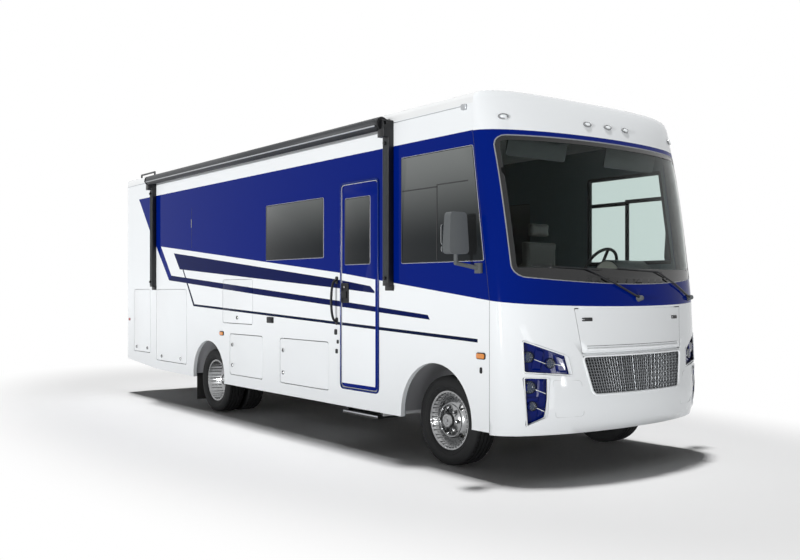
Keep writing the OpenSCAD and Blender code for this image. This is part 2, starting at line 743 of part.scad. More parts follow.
module front_cap() {
    color("#f4f5f6") union() {
        difference() {
            cap_shell();
            along_x(cut_back, x_nose + 1) polygon(screen_outline(0));
            front_prism(inward(hood_points, 6), 5, cut_back, x_nose + 1);
            front_prism(inward(grille_points, 12), 10, cut_back, x_nose + 1);
            both_sides() for (q = [upper_inset, lower_inset])
                front_prism(inward(q, inset_r), inset_r, cut_back, x_nose + 1);
            for (p = wiper_pivots) front_prism([p, p + [0, 2]], wiper_hole_r, cut_back, x_nose + 1);
        }
        // Lips that the closed hood rests on
        for (z = [hood_foot_z - 14, hood_top_z - 16])
            nose_patch([lip_half, lip_half], z, z + 30, hood_t + 0.4, hood_t + lip_t, 2);
    }
}

module windshield() {
    color("#59626a") grid_shell(screen_grid(0.6, 6), screen_grid(0.6, 14), screen_rows, screen_columns);
}

module hood() {
    color("#f4f5f6") nose_patch([hood_half_foot - hood_gap, hood_half_w - hood_gap],
                                hood_foot_z + hood_gap, hood_top_z - hood_gap, 0, hood_t,
                                taper = hood_taper);
}

module grille() {
    color("#6f7276") nose_patch([grille_half[0] + 12, grille_half[1] + 8], grille_foot_z - 12,
                                grille_top_z + 12, cap_t + 1, cap_t + 9);
}

// Backing of a lamp inset, spread a little past its opening behind the cap
inset_back = 8;
inset_seats = [1.7, 3.1];
inset_steps = 5;
function inset_grid(q, t) = [for (r = [0 : inset_steps], c = [0 : inset_steps])
    let (u = r / inset_steps, v = c / inset_steps,
         low = q[2] * (1 - v) + q[3] * v, high = q[1] * (1 - v) + q[0] * v, p = low * (1 - u) + high * u)
    [cap_x(p[0], p[1], t), p[0], p[1]]];

lamp_r = 36;
lamp_places = spread([[0.847, 1014], [0.719, 962], [0.844, 772], [0.831, 622]]);
lamp_set_in = 30;
module headlights() {
    color("#1a2c8c") both_sides() {
        for (k = [0, 1]) {
            q = inward([upper_inset, lower_inset][k], -10);
            t = cap_t + inset_seats[k];
            grid_shell(inset_grid(q, t), inset_grid(q, t + inset_back), inset_steps, inset_steps);
        }
        for (p = lamp_places)
            translate([cap_x(p[0], p[1]) - 110, p[0], p[1]]) rotate([0, 90, 0])
                cylinder(h = 110 - lamp_set_in, r = lamp_r);
    }
}

wiper_off = 14;
function over_glass(share, z) = [cap_x(share * half_w, z) + wiper_off, share * half_w, z];
module wiper(pivot, elbow, tip, back) {
    p0 = [cap_x(pivot[0], pivot[1]), pivot[0], pivot[1]];
    bend = over_glass((pivot[0] / half_w + elbow[0]) / 2, (pivot[1] + elbow[1]) / 2) + [12, 0, 0];
    knee = over_glass(elbow[0], elbow[1]);
    end = over_glass(tip[0], tip[1]);
    heel = over_glass(back[0], back[1]);
    translate(p0 - [cap_t + 10, 0, 0]) rotate([0, 90, 0]) cylinder(h = cap_t + 40, r = 12);
    link(p0 + [26, 0, 0], bend, 8);
    link(bend, knee + [6, 0, 0], 8);
    for (s = [[knee, end], [knee, heel]]) {
        middle = over_glass((s[0][1] + s[1][1]) / 2 / half_w, (s[0][2] + s[1][2]) / 2);
        link(s[0], middle, 6);
        link(middle, s[1], 6);
    }
}
module wipers() {
    color("#1b1c1e") {
        wiper(wiper_pivots[0], [-0.437, 1728], [-0.811, 1752], [-0.312, 1722]);
        wiper(wiper_pivots[1], [0.257, 1712], [-0.16, 1736], [0.312, 1706]);
    }
}

// ---------------------------------------------------------------- cab
dash_x = x_front + 430;
dash_z = [1300, 1730];
dash_gap = 8;
dash_front = [for (a = [-72 : 8 : 72])
    let (y = (half_w - cap_t - dash_gap) * sin(a)) [cap_x(y, dash_z[1], cap_t + dash_gap), y]];
driver_y = 560;
column_r = 28;
column_at = [dash_x + 40, driver_y, dash_z[1] - 65];
column_tilt = -62;
column_l = 165;
module dashboard() {
    color("#b9b4aa") union() {
        translate([0, 0, dash_z[0]]) linear_extrude(dash_z[1] - dash_z[0]) polygon(concat(
            [[x_seam_low - 120, in_w], [dash_x, in_w], [dash_x, -in_w], [x_seam_low - 120, -in_w]],
            dash_front));
        translate([dash_x + 150, driver_y + 230, dash_z[1] - 60]) rotate([90, 0, 0])
            cylinder(h = 460, r = 150);
        translate(column_at) rotate([0, column_tilt, 0]) cylinder(h = column_l, r = column_r);
        box([x_seam_low - 10, -900, floor_z], [x_seam_low + 60, 900, dash_z[0] + 10]);
    }
}

wheel_r = 215;
module steering_wheel() {
    color("#202124") translate(column_at) rotate([0, column_tilt, 0]) translate([0, 0, column_l]) union() {
        translate([0, 0, 25]) rotate_extrude() translate([wheel_r, 0]) circle(r = 15);
        cylinder(h = 40, r = 45);
        for (k = [0, 1, 2]) rotate(120 * k) translate([0, -16, 17]) cube([wheel_r, 32, 12]);
    }
}

seat_w = 520;
module seat(y) {
    translate([x_front - 260, y, 0]) {
        box([-190, -190, floor_z], [190, 190, floor_z + 300]);
        box([-260, -seat_w / 2, floor_z + 300], [260, seat_w / 2, floor_z + 430]);
        box([-330, -seat_w / 2, floor_z + 400], [-210, seat_w / 2, floor_z + 1030]);
        box([-325, -150, floor_z + 1030], [-225, 150, floor_z + 1200]);
        for (rest = [-1, 1] * (seat_w / 2 + 30))
            box([-240, rest - 32, floor_z + 600], [140, rest + 32, floor_z + 660]);
    }
}
module cab_seats() {
    color("#6d665d") {
        seat(driver_y + 20);
        seat(-driver_y - 20);
    }
}

// ---------------------------------------------------------------- outside pieces
arm_x = [x_back - 1745, entry[1] + 180];
arm_w = 92;
arm_proud = 62;
arm_z = [1590, gutter_z - 58];
awning_z = gutter_z - 18;
awning_y = half_w + 12 + awning_r + 26;
module awning_arms() {
    color("#242527") mirror([0, 1, 0]) for (x = arm_x) difference() {
        union() {
            box([x - arm_w / 2, half_w, arm_z[0]], [x + arm_w / 2, half_w + arm_proud, arm_z[1]]);
            box([x - arm_w / 2, half_w, arm_z[1] - 90], [x + arm_w / 2, awning_y + 20, awning_z + 30]);
        }
        translate([x - arm_w, awning_y, awning_z]) rotate([0, 90, 0]) cylinder(h = 2 * arm_w, r = 16.3);
    }
}

module awning_roller() {
    color("#2b2d30") translate([0, -awning_y, awning_z]) rotate([0, 90, 0]) {
        translate([0, 0, arm_x[0] + arm_w / 2 + 2])
            cylinder(h = arm_x[1] - arm_x[0] - arm_w - 4, r = awning_r);
        translate([0, 0, arm_x[0] - 30]) cylinder(h = arm_x[1] - arm_x[0] + 60, r = 16);
    }
}

mirror_at = [x_front + 555, half_w + 218, 2015];
mirror_size = [90, 210, 340];
// The driver's mirror stands a little nearer the body
driver_tuck = [50, 50, 0];
module mirror_on_arm(at) {
    translate(at) rotate([90, 0, 90]) translate([0, 0, -mirror_size[0] / 2])
        linear_extrude(mirror_size[0]) polygon(rounded([
            [-mirror_size[1] / 2, -mirror_size[2] / 2], [mirror_size[1] / 2, -mirror_size[2] / 2],
            [mirror_size[1] / 2, mirror_size[2] / 2], [-mirror_size[1] / 2, mirror_size[2] / 2]], 45));
    rod([at[0], at[1], 1772], [at[0], at[1], 1900], 17);
    rod([at[0], at[1], 1772], [x_front + 600, half_w + 20, 1732], 17);
    translate([at[0], at[1], 1772]) sphere(r = 18);
    box([x_front + 570, half_w, 1690], [x_front + 640, half_w + 30, 1775]);
}
module mirrors() {
    color("#4a4d50") union() {
        mirror_on_arm(mirror_at - driver_tuck);
        mirror([0, 1, 0]) mirror_on_arm(mirror_at);
    }
}

rail_bar_r = 13;
ladder_ball_r = rail_bar_r + 0.6;
ladder_x = x_rear - ladder_reach + ladder_ball_r;
ladder_y = -840;
ladder_half = 170;
ladder_top = roof_z + 55;
ladder_foot = 1010;
hook_x = x_rear + 410;
module ladder() {
    color("#202124") translate([0, ladder_y, 0]) union() {
        for (s = [-1, 1]) {
            y = s * ladder_half;
            rod([ladder_x, y, ladder_foot], [ladder_x, y, ladder_top], rail_bar_r);
            rod([ladder_x, y, ladder_top], [hook_x, y, ladder_top], rail_bar_r);
            rod([hook_x, y, ladder_top], [hook_x, y, roof_at((ladder_y + y) / half_w, 0) + 0.9], rail_bar_r);
            for (x = [ladder_x, hook_x]) translate([x, y, ladder_top]) sphere(r = ladder_ball_r);
            for (z = [ladder_foot + 60, 2050, gutter_z - 60]) rod([ladder_x, y, z], [x_rear, y, z], 9);
        }
        for (k = [0 : 6]) rod([ladder_x, -ladder_half, ladder_foot + 120 + 300 * k],
                              [ladder_x, ladder_half, ladder_foot + 120 + 300 * k], 11);
    }
}

receiver = 63.5;
receiver_in = 51;
receiver_l = 230;
hitch_z = tail_z - 7 - receiver / 2;
module hitch_receiver() {
    color("#1f2022") difference() {
        union() {
            box([x_rear + 150, -rail_out, hitch_z - receiver / 2], [x_rear + 225, rail_out, rail_z]);
            box([x_rear - 30, -receiver / 2, hitch_z - receiver / 2],
                [x_rear - 30 + receiver_l, receiver / 2, hitch_z + receiver / 2]);
        }
        box([x_rear - 31, -receiver_in / 2, hitch_z - receiver_in / 2],
            [x_rear + 130, receiver_in / 2, hitch_z + receiver_in / 2]);
        translate([x_rear + 35, receiver, hitch_z]) rotate([90, 0, 0])
            cylinder(h = 2 * receiver, r = hitch_pin_r);
    }
}

lamp_y = half_w - 170;
module tail_lamps() {
    color("#a01820") both_sides() {
        box([x_rear - 26, lamp_y, 1120], [x_rear, lamp_y + 95, 1480]);
        box([x_rear - 20, lamp_y - 10, 2900], [x_rear, lamp_y + 90, 2950]);
    }
}

cooler_x = [x_rear + 2300, x_front - 900];
module roof_block(x, y, l, w, h, r) {
    low = min(roof_at((abs(y) + w / 2) / half_w, 0), roof_z - 1);
    difference() {
        translate([0, 0, low - 1]) linear_extrude(roof_z + h - low + 1)
            polygon(rounded(box_points([x - l / 2, x + l / 2, y - w / 2, y + w / 2]), r));
        along_x(x - l, x + l) polygon(concat(roof_curve(0, cap_columns), [[half_w, 100], [-half_w, 100]]));
    }
}
module roof_units() {
    color("#eceded") {
        for (x = cooler_x) roof_block(x, 0, 1000, 640, cooler_h, 120);
        for (x = [x_rear + 1250, x_rear + 3700]) roof_block(x, 300, 360, 360, 90, 40);
        roof_block(x_rear + 700, -250, 260, 260, 60, 60);
    }
}

flap_x = rear_arch[0] - rear_liner_r - liner_t - 0.4;
module mud_flaps() {
    color("#17181a") both_sides()
        box([flap_x - 6, in_w - 560, 110], [flap_x, in_w - 14, 600]);
}

handle_r = 13;
handle_x = entry[0] - 60;
module grab_handle() {
    color("#1b1c1e") mirror([0, 1, 0]) union() {
        for (z = [1236, 1650]) {
            rod([handle_x, half_w, z], [handle_x, half_w + 70, z], handle_r);
            translate([handle_x, half_w + 70, z]) sphere(r = handle_r + 0.4);
        }
        rod([handle_x, half_w + 70, 1236], [handle_x, half_w + 70, 1650], handle_r);
    }
}

module entry_step() {
    color("#3a3c3f") union() {
        box([step_x[0] + 8, -half_w + 10, step_z[0] + 20], [step_x[1] - 8, -half_w + 270, step_z[1]]);
        for (x = [step_x[0] + 8, step_x[1] - 28])
            box([x, -half_w + 60, step_z[1] - 1], [x + 20, -half_w + 640, step_z[1] + 25]);
    }
}

chassis_frame();
engine_block();
drive_shaft();
fuel_tank();
front_axle();
rear_axle();
leaf_springs();
knuckle_left();
knuckle_right();
tyre_front_left();
tyre_front_right();
tyres_rear_left();
tyres_rear_right();
wheel_front_left();
wheel_front_right();
wheels_rear_left();
wheels_rear_right();
floor();
storage_bays();
wheel_liners();
right_wall();
left_wall();
rear_cap();
roof();
front_cap();
windshield();
side_windows();
hood();
grille();
headlights();
tail_lamps();
awning_roller();
awning_arms();
mirrors();
ladder();
hitch_receiver();
roof_units();
wipers();
dashboard();
steering_wheel();
cab_seats();
mud_flaps();
grab_handle();
entry_door();
entry_door_window();
entry_step();
tail_hatch();
rear_hatch();
access_hatch();
bay_door_rear();
bay_door_front();
left_bay_door_rear();
left_bay_door_front();
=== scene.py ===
"""Looks of a motorhome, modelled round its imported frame.

Metres throughout. +X points forward, +Y to the driver's side, +Z up, and the ground is z = 0.
"""

import math
from contextlib import contextmanager
from functools import reduce

import bmesh
import bpy
from mathutils import Matrix, Vector


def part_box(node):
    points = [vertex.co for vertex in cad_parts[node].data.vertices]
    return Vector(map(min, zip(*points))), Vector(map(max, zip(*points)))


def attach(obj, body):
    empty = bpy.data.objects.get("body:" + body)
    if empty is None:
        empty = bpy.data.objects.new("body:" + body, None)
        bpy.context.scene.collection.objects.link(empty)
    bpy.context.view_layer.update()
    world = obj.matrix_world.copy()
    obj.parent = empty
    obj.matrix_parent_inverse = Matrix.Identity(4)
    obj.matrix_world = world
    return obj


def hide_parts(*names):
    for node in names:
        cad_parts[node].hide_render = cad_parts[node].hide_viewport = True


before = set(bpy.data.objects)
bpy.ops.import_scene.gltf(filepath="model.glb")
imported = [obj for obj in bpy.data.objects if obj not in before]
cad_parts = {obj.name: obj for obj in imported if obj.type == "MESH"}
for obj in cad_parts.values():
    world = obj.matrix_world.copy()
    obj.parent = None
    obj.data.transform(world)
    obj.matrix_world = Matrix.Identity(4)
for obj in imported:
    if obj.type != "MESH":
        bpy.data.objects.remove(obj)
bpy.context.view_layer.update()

bl_info = {
    "name": "Motorhome looks",
    "version": (1, 0, 0),
    "blender": (4, 5, 0),
    "location": "3D View > Sidebar > Motorhome",
    "description": "Models and paints a motorhome round its frame",
    "category": "Object",
}

# Places that several pieces share, read from the frame
WALL_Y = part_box("right_wall")[0].y
INNER_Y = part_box("right_wall")[1].y
REAR_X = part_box("rear_cap")[0].x
NOSE_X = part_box("front_cap")[1].x
SEAM_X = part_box("right_wall")[1].x
ROOF_END_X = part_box("roof")[1].x
GUTTER_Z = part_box("right_wall")[1].z
ROOF_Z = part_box("roof")[1].z
FLOOR_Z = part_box("floor")[1].z
LEFT, RIGHT = 1, -1
SIDES = {"left": LEFT, "right": RIGHT}


# ------------------------------------------------------------------ modelling helpers
def only(*objects):
    """Selects these objects and nothing else; the first one is active."""
    bpy.ops.object.select_all(action="DESELECT")
    for obj in objects:
        obj.select_set(True)
    bpy.context.view_layer.objects.active = objects[0]


@contextmanager
def editing(obj, kind="FACE"):
    """Edit mode on one object, in face, edge or vertex select mode, with all of it selected."""
    only(obj)
    bpy.ops.object.mode_set(mode="EDIT")
    bpy.ops.mesh.select_mode(type=kind)
    bpy.ops.mesh.select_all(action="SELECT")
    yield obj
    bpy.ops.object.mode_set(mode="OBJECT")


def choose(obj, kind, test):
    """In edit mode, selects the faces, edges or vertices that pass a test, and returns how many."""
    bpy.ops.mesh.select_mode(type=kind)
    bpy.ops.mesh.select_all(action="DESELECT")
    mesh = bmesh.from_edit_mesh(obj.data)
    parts = {"FACE": mesh.faces, "EDGE": mesh.edges, "VERT": mesh.verts}[kind]
    found = [part for part in parts if test(part)]
    for part in found:
        part.select_set(True)
    mesh.select_flush_mode()
    bmesh.update_edit_mesh(obj.data)
    return len(found)


def settle(obj):
    """Puts an object's place, turn and size into its mesh."""
    only(obj)
    bpy.ops.object.transform_apply(location=True, rotation=True, scale=True)
    return obj


def primitive(kind, **settings):
    """Adds one of Blender's mesh primitives and returns it, settled."""
    bpy.ops.object.select_all(action="DESELECT")
    getattr(bpy.ops.mesh, f"primitive_{kind}_add")(**settings)
    return settle(bpy.context.object)


def block(low, high):
    """A box between two corners."""
    low, high = Vector(low), Vector(high)
    return primitive("cube", size=1, location=(low + high) / 2, scale=high - low)


def bar(start, end, radius, sides=16):
    """A round bar between two points."""
    start, end = Vector(start), Vector(end)
    turn = (end - start).to_track_quat("Z", "Y").to_euler()
    return primitive("cylinder", vertices=sides, radius=radius, depth=(end - start).length,
                     location=(start + end) / 2, rotation=turn)


def apply(obj, kind, **settings):
    """Adds a modifier with its settings and applies it."""
    only(obj)
    modifier = obj.modifiers.new(kind.lower(), kind)
    for key, value in settings.items():
        setattr(modifier, key, value)
    bpy.ops.object.modifier_apply(modifier=modifier.name)
    return obj


def bevelled(obj, width, segments=2, angle=30):
    """Rounds the edges that turn by more than an angle."""
    return apply(obj, "BEVEL", width=width, segments=segments, limit_method="ANGLE",
                 angle_limit=math.radians(angle), use_clamp_overlap=True)


def joined(objects):
    """One object from several."""
    objects = [obj for obj in objects if obj]
    only(*objects)
    if len(objects) > 1:
        bpy.ops.object.join()
    return bpy.context.view_layer.objects.active


def copied(obj, move=(0, 0, 0), turn=None, about=(0, 0, 0)):
    """A copy with its own mesh, turned about a point and then moved."""
    made = obj.copy()
    made.data = obj.data.copy()
    bpy.context.collection.objects.link(made)
    about = Vector(about)
    if turn is not None:
        made.data.transform(Matrix.Translation(about) @ turn @ Matrix.Translation(-about))
    made.data.transform(Matrix.Translation(Vector(move)))
    return made


def placed(obj, place, degrees, axis, about=(0, 0, 0)):
    """Turns a piece about a point and moves that point to a place."""
    turn = Matrix.Rotation(math.radians(degrees), 4, axis)
    obj.data.transform(Matrix.Translation(place) @ turn @ Matrix.Translation(-Vector(about)))
    return obj


def mirrored(obj):
    """A copy on the other side of the vehicle's middle plane."""
    made = copied(obj)
    made.data.transform(Matrix.Diagonal((1, -1, 1, 1)))
    made.data.flip_normals()
    return made


def facing_out(obj):
    """Merges doubles and turns all faces outwards."""
    with editing(obj):
        bpy.ops.mesh.remove_doubles(threshold=0.00001)
        bpy.ops.mesh.normals_make_consistent(inside=False)
    return obj


def chain(points):
    """An open line of edges through points, drawn by pulling one vertex along."""
    line = primitive("plane", size=0.1)
    with editing(line, "VERT"):
        bpy.ops.mesh.merge(type="CENTER")
        bpy.ops.transform.translate(value=Vector(points[0]))
        for here, there in zip(points, points[1:]):
            bpy.ops.mesh.extrude_vertices_move(
                TRANSFORM_OT_translate={"value": Vector(there) - Vector(here)})
    return line


def lathed(profile, steps=64):
    """A turned shape about the z axis from a profile of (radius, height)."""
    line = chain([(radius, 0, height) for radius, height in profile])
    with editing(line, "EDGE"):
        bpy.ops.mesh.spin(steps=steps, angle=math.tau, center=(0, 0, 0), axis=(0, 0, 1))
    return facing_out(line)


def plate(points, normal, depth, edge=0.0):
    """A plate over a closed outline, thickened along a normal, its edges rounded."""
    face = primitive("circle", vertices=len(points), radius=1, fill_type="NGON")
    for corner, point in zip(face.data.vertices, points):
        corner.co = point
    with editing(face):
        bpy.ops.mesh.extrude_region_move(TRANSFORM_OT_translate={"value": Vector(normal) * depth})
    facing_out(face)
    return bevelled(face, edge) if edge else face


def tube(points, radius, closed=False, sides=8):
    """A round tube along points, made as a bevelled curve and turned into a mesh."""
    curve = bpy.data.curves.new("tube", "CURVE")
    curve.dimensions = "3D"
    curve.bevel_depth = radius
    curve.bevel_resolution = max(0, sides // 2 - 2)
    curve.use_fill_caps = not closed
    spline = curve.splines.new("POLY")
    spline.points.add(len(points) - 1)
    for place, point in zip(spline.points, points):
        place.co = (*point, 1)
    spline.use_cyclic_u = closed
    obj = bpy.data.objects.new("tube", curve)
    bpy.context.collection.objects.link(obj)
    only(obj)
    bpy.ops.object.convert(target="MESH")
    return bpy.context.object


def around(obj, count, centre, axis="Y"):
    """Copies of a piece turned evenly about an axis through a point, joined to it."""
    turned = [copied(obj, turn=Matrix.Rotation(math.tau * k / count, 4, axis), about=centre)
              for k in range(1, count)]
    return joined([obj, *turned])


def merged_node(name):
    """A copy of a CAD node's mesh with its loose triangles merged."""
    made = copied(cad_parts[name])
    made.parent = None
    made.matrix_world = Matrix.Identity(4)
    made.hide_render = made.hide_viewport = False
    made.data.materials.clear()
    with editing(made):
        bpy.ops.mesh.remove_doubles(threshold=0.00002)
    return made


def smoothed(obj, degrees=30):
    """Smooth shading between faces that turn by less than an angle."""
    only(obj)
    bpy.ops.object.shade_smooth_by_angle(angle=math.radians(degrees))
    return obj


def finished(obj, name, finish, body="coach", degrees=30, replaces=()):
    """Names a piece, gives it its material and hangs it on a body of the frame."""
    settle(obj)
    smoothed(obj, degrees)
    obj.name = obj.data.name = name
    if finish:
        obj.data.materials.clear()
        obj.data.materials.append(material(finish))
    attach(obj, body)
    if replaces:
        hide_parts(*replaces)
    return obj


# ------------------------------------------------------------------ material helpers
def srgb(colour):
    """Linear RGBA from a hex sRGB colour."""
    parts = [int(colour[i:i + 2], 16) / 255 for i in (1, 3, 5)]
    return (*[c / 12.92 if c <= 0.04045 else ((c + 0.055) / 1.055) ** 2.4 for c in parts], 1.0)


def per_mm(size):
    """The texture scale that gives features of a size in millimetres."""
    return 1000 / size


# What each short name stands for: a node's type, the inputs that its values go to in order, the
# output that is used and its settings
NODES = {
    "place": ("ShaderNodeTexCoord", (), "Object", {}),
    "stretch": ("ShaderNodeMapping", ("Vector", "Scale"), 0, {}),
    "noise": ("ShaderNodeTexNoise", ("Vector", "Scale", "Detail"), "Fac", {}),
    "x of": ("ShaderNodeSeparateXYZ", (0,), "X", {}),
    "y of": ("ShaderNodeSeparateXYZ", (0,), "Y", {}),
    "z of": ("ShaderNodeSeparateXYZ", (0,), "Z", {}),
    "dot": ("ShaderNodeVectorMath", (0, 1), "Value", {"operation": "DOT_PRODUCT"}),
    "length": ("ShaderNodeVectorMath", (0,), "Value", {"operation": "LENGTH"}),
    "scale": ("ShaderNodeVectorMath", (0, 1), "Vector", {"operation": "MULTIPLY"}),
    "multiply": ("ShaderNodeMath", (0, 1), 0, {"operation": "MULTIPLY"}),
    "maximum": ("ShaderNodeMath", (0, 1), 0, {"operation": "MAXIMUM"}),
    "greater": ("ShaderNodeMath", (0, 1), 0, {"operation": "GREATER_THAN"}),
    "absolute": ("ShaderNodeMath", (0,), 0, {"operation": "ABSOLUTE"}),
    "sine": ("ShaderNodeMath", (0,), 0, {"operation": "SINE"}),
    "range": ("ShaderNodeMapRange", ("Value", "To Min", "To Max"), 0, {}),
    "ramp": ("ShaderNodeMapRange", ("Value", "From Min", "From Max"), 0,
             {"interpolation_type": "SMOOTHSTEP"}),
    "mix": ("ShaderNodeMix", (0, 6, 7), 2, {"data_type": "RGBA"}),
    "bump": ("ShaderNodeBump", ("Height", "Distance"), 0, {}),
    "glow": ("ShaderNodeEmission", ("Strength",), 0, {}),
    "blend": ("ShaderNodeMixShader", (0, 1, 2), 0, {}),
    "camera ray": ("ShaderNodeLightPath", (), "Is Camera Ray", {}),
    "glossy ray": ("ShaderNodeLightPath", (), "Is Glossy Ray", {}),
    "clear ray": ("ShaderNodeLightPath", (), "Is Transmission Ray", {}),
}


def feed(tree, socket, value):
    """Links an output to an input, or sets the input to a number, a vector or a hex colour."""
    if isinstance(value, bpy.types.NodeSocket):
        tree.links.new(value, socket)
    else:
        socket.default_value = srgb(value) if isinstance(value, str) else value


def add(tree, kind, *values):
    """Adds a node with its settings, feeds its inputs and returns its output."""
    type_name, inputs, output, settings = NODES[kind]
    made = tree.nodes.new(type_name)
    for key, value in settings.items():
        setattr(made, key, value)
    for key, value in zip(inputs, values):
        feed(tree, made.inputs[key], value)
    return made.outputs[output]


def surface(tree, colour, roughness, height=None, depth_mm=0.1, **sockets):
    """The main shader, with bump from a height that is depth_mm deep."""
    shader = tree.nodes["Principled BSDF"].inputs
    feed(tree, shader["Base Color"], colour)
    feed(tree, shader["Roughness"], roughness)
    for key, value in sockets.items():
        shader[key.replace("_", " ")].default_value = value
    if height is not None:
        feed(tree, shader["Normal"], add(tree, "bump", height, depth_mm / 1000))


def above(tree, place, start, end):
    """1 on the upper side of a line in the side plane, through two (x, z) points, rearmost first."""
    along = Vector((end[0] - start[0], end[1] - start[1])).normalized()
    across = (-along.y, 0, along.x)
    height = add(tree, "dot", place, across)
    return add(tree, "greater", height, across[0] * start[0] + across[2] * start[1])


def painted_shape(tree, place, corners):
    """1 inside a convex shape in the side plane, its (x, z) corners in anticlockwise order."""
    edges = [above(tree, place, *ends) for ends in zip(corners, corners[1:] + corners[:1])]
    return reduce(lambda one, other: add(tree, "multiply", one, other), edges)


def either(tree, *masks):
    """1 where any of the masks is."""
    return reduce(lambda one, other: add(tree, "maximum", one, other), masks)


# ------------------------------------------------------------------ materials
# Corners of the painted shapes in the side plane, as (x, z)
PAINT_TOP = 2.88
FIELD = [
    [(-3.142, 2.175), (1.62, 1.723), (1.62, PAINT_TOP), (-3.745, PAINT_TOP)],
    [(1.62, 1.723), (2.31, 1.642), (2.31, PAINT_TOP), (1.62, PAINT_TOP)],
    [(2.31, 1.642), (4.6, 1.377), (4.6, PAINT_TOP), (2.31, PAINT_TOP)],
    [(-3.745, PAINT_TOP), (-3.331, 2.414), (-2.643, 1.678), (-2.564, 1.743), (-2.99, 2.23)],
]
STRIPES = [
    [(-2.643, 1.678), (-0.038, 1.491), (1.62, 1.441), (-2.564, 1.743)],
    [(-0.038, 1.491), (3.056, 1.291), (3.024, 1.333), (1.62, 1.441)],
    [(-2.286, 1.824), (1.615, 1.567), (1.615, 1.653), (-2.487, 2.048)],
    [(1.615, 1.567), (2.222, 1.521), (2.222, 1.538), (2.148, 1.589), (1.615, 1.653)],
]
THIN_LINE = [
    [(-2.195, 1.819), (-1.852, 1.335), (-1.818, 1.362), (-2.163, 1.819)],
    [(-1.852, 1.335), (3.678, 1.12), (3.678, 1.15), (-1.818, 1.362)],
]
DOOR_BORDER = [
    [(2.233, 0.55), (2.296, 0.55), (2.296, 1.70), (2.233, 1.70)],
    [(1.63, 0.55), (2.296, 0.55), (2.296, 0.627), (1.63, 0.627)],
]


def gelcoat(tree, place):
    # Glass-fibre panel with a glossy white gelcoat and painted bands: deep gloss, faint long
    # waves, and a plain pale lining on the faces that look into the vehicle
    paint = bpy.context.scene.motorhome_paint
    blue = either(tree, *[painted_shape(tree, place, c) for c in FIELD])
    navy = either(tree, *[painted_shape(tree, place, c) for c in STRIPES])
    line = either(tree, *[painted_shape(tree, place, c) for c in THIN_LINE])
    white = add(tree, "mix", add(tree, "noise", place, per_mm(900), 2), (*paint.white, 1),
                (*[c * 0.97 for c in paint.white], 1))
    banded = add(tree, "mix", navy, add(tree, "mix", line, white, (*paint.line, 1)), (*paint.stripe, 1))
    outside = add(tree, "mix", blue, banded, (*paint.field, 1))
    y = add(tree, "absolute", add(tree, "y of", place))
    is_outside = add(tree, "greater", y, abs(INNER_Y) + 0.004)
    surface(tree, add(tree, "mix", is_outside, "#59666B", outside),
            add(tree, "range", add(tree, "noise", place, per_mm(40), 4), 0.05, 0.11),
            add(tree, "noise", place, per_mm(260), 2), 0.25, Specular_IOR_Level=0.035)


def nose_paint(tree, place):
    # The moulded front: the same gelcoat, blue round the windshield between two lines
    paint = bpy.context.scene.motorhome_paint
    blue = painted_shape(tree, place, [(2.31, 1.642), (4.6, 1.377), (4.6, 2.873), (2.31, 2.88)])
    white = add(tree, "mix", add(tree, "noise", place, per_mm(900), 2), (*paint.white, 1),
                (*[c * 0.97 for c in paint.white], 1))
    surface(tree, add(tree, "mix", blue, white, (*paint.field, 1)),
            add(tree, "range", add(tree, "noise", place, per_mm(40), 4), 0.05, 0.1),
            add(tree, "noise", place, per_mm(260), 2), 0.25, Specular_IOR_Level=0.035)


def door_paint(tree, place):
    # The entry door: the side's bands with a blue border along its front and lower edges
    paint = bpy.context.scene.motorhome_paint
    field = [painted_shape(tree, place, c) for c in FIELD[:3] + DOOR_BORDER]
    navy = either(tree, *[painted_shape(tree, place, c) for c in STRIPES[1:]])
    line = painted_shape(tree, place, THIN_LINE[1])
    banded = add(tree, "mix", navy, add(tree, "mix", line, (*paint.white, 1), (*paint.line, 1)),
                 (*paint.stripe, 1))
    surface(tree, add(tree, "mix", either(tree, *field), banded, (*paint.field, 1)),
            add(tree, "range", add(tree, "noise", place, per_mm(40), 4), 0.05, 0.11),
            add(tree, "noise", place, per_mm(260), 2), 0.25, Specular_IOR_Level=0.035)


def inner_lining(tree, place):
    # Vinyl-faced lining board: matt, dark green-grey, with a fine leather grain
    cells = add(tree, "noise", place, per_mm(6), 5)
    surface(tree, add(tree, "mix", cells, "#2E3233", "#3A3F40"), 0.75, cells, 0.4)


def roof_membrane(tree, place):
    # Rubber roof membrane: chalky white, with soft ripples where it is glued down
    surface(tree, add(tree, "mix", add(tree, "noise", place, per_mm(450), 5), "#DADCDD", "#E9EAEA"),
            add(tree, "range", add(tree, "noise", place, per_mm(60), 3), 0.5, 0.7),
            add(tree, "noise", place, per_mm(300), 3), 0.8)


def steel_paint(tree, place):
    # Chassis black over rolled steel: satin, slightly rough, with thin dust in its hollows
    dust = add(tree, "noise", place, per_mm(120), 6)
    surface(tree, add(tree, "mix", dust, "#15161A", "#2B2A29"), add(tree, "range", dust, 0.35, 0.65),
            add(tree, "noise", place, per_mm(4), 4), 0.3)


def cast_iron(tree, place):
    # Cast iron and aluminium castings: sand-cast pebble texture, grey with oily patches
    patches = add(tree, "noise", place, per_mm(90), 6)
    surface(tree, add(tree, "mix", patches, "#3A3C3E", "#5E6164"), add(tree, "range", patches, 0.4, 0.75),
            add(tree, "noise", place, per_mm(3), 5), 0.5, Metallic=0.6)


def tank_plastic(tree, place):
    # Blow-moulded polyethylene: black, waxy, faint orange peel
    surface(tree, add(tree, "mix", add(tree, "noise", place, per_mm(200), 3), "#17181A", "#222326"), 0.45,
            add(tree, "noise", place, per_mm(12), 3), 0.4)


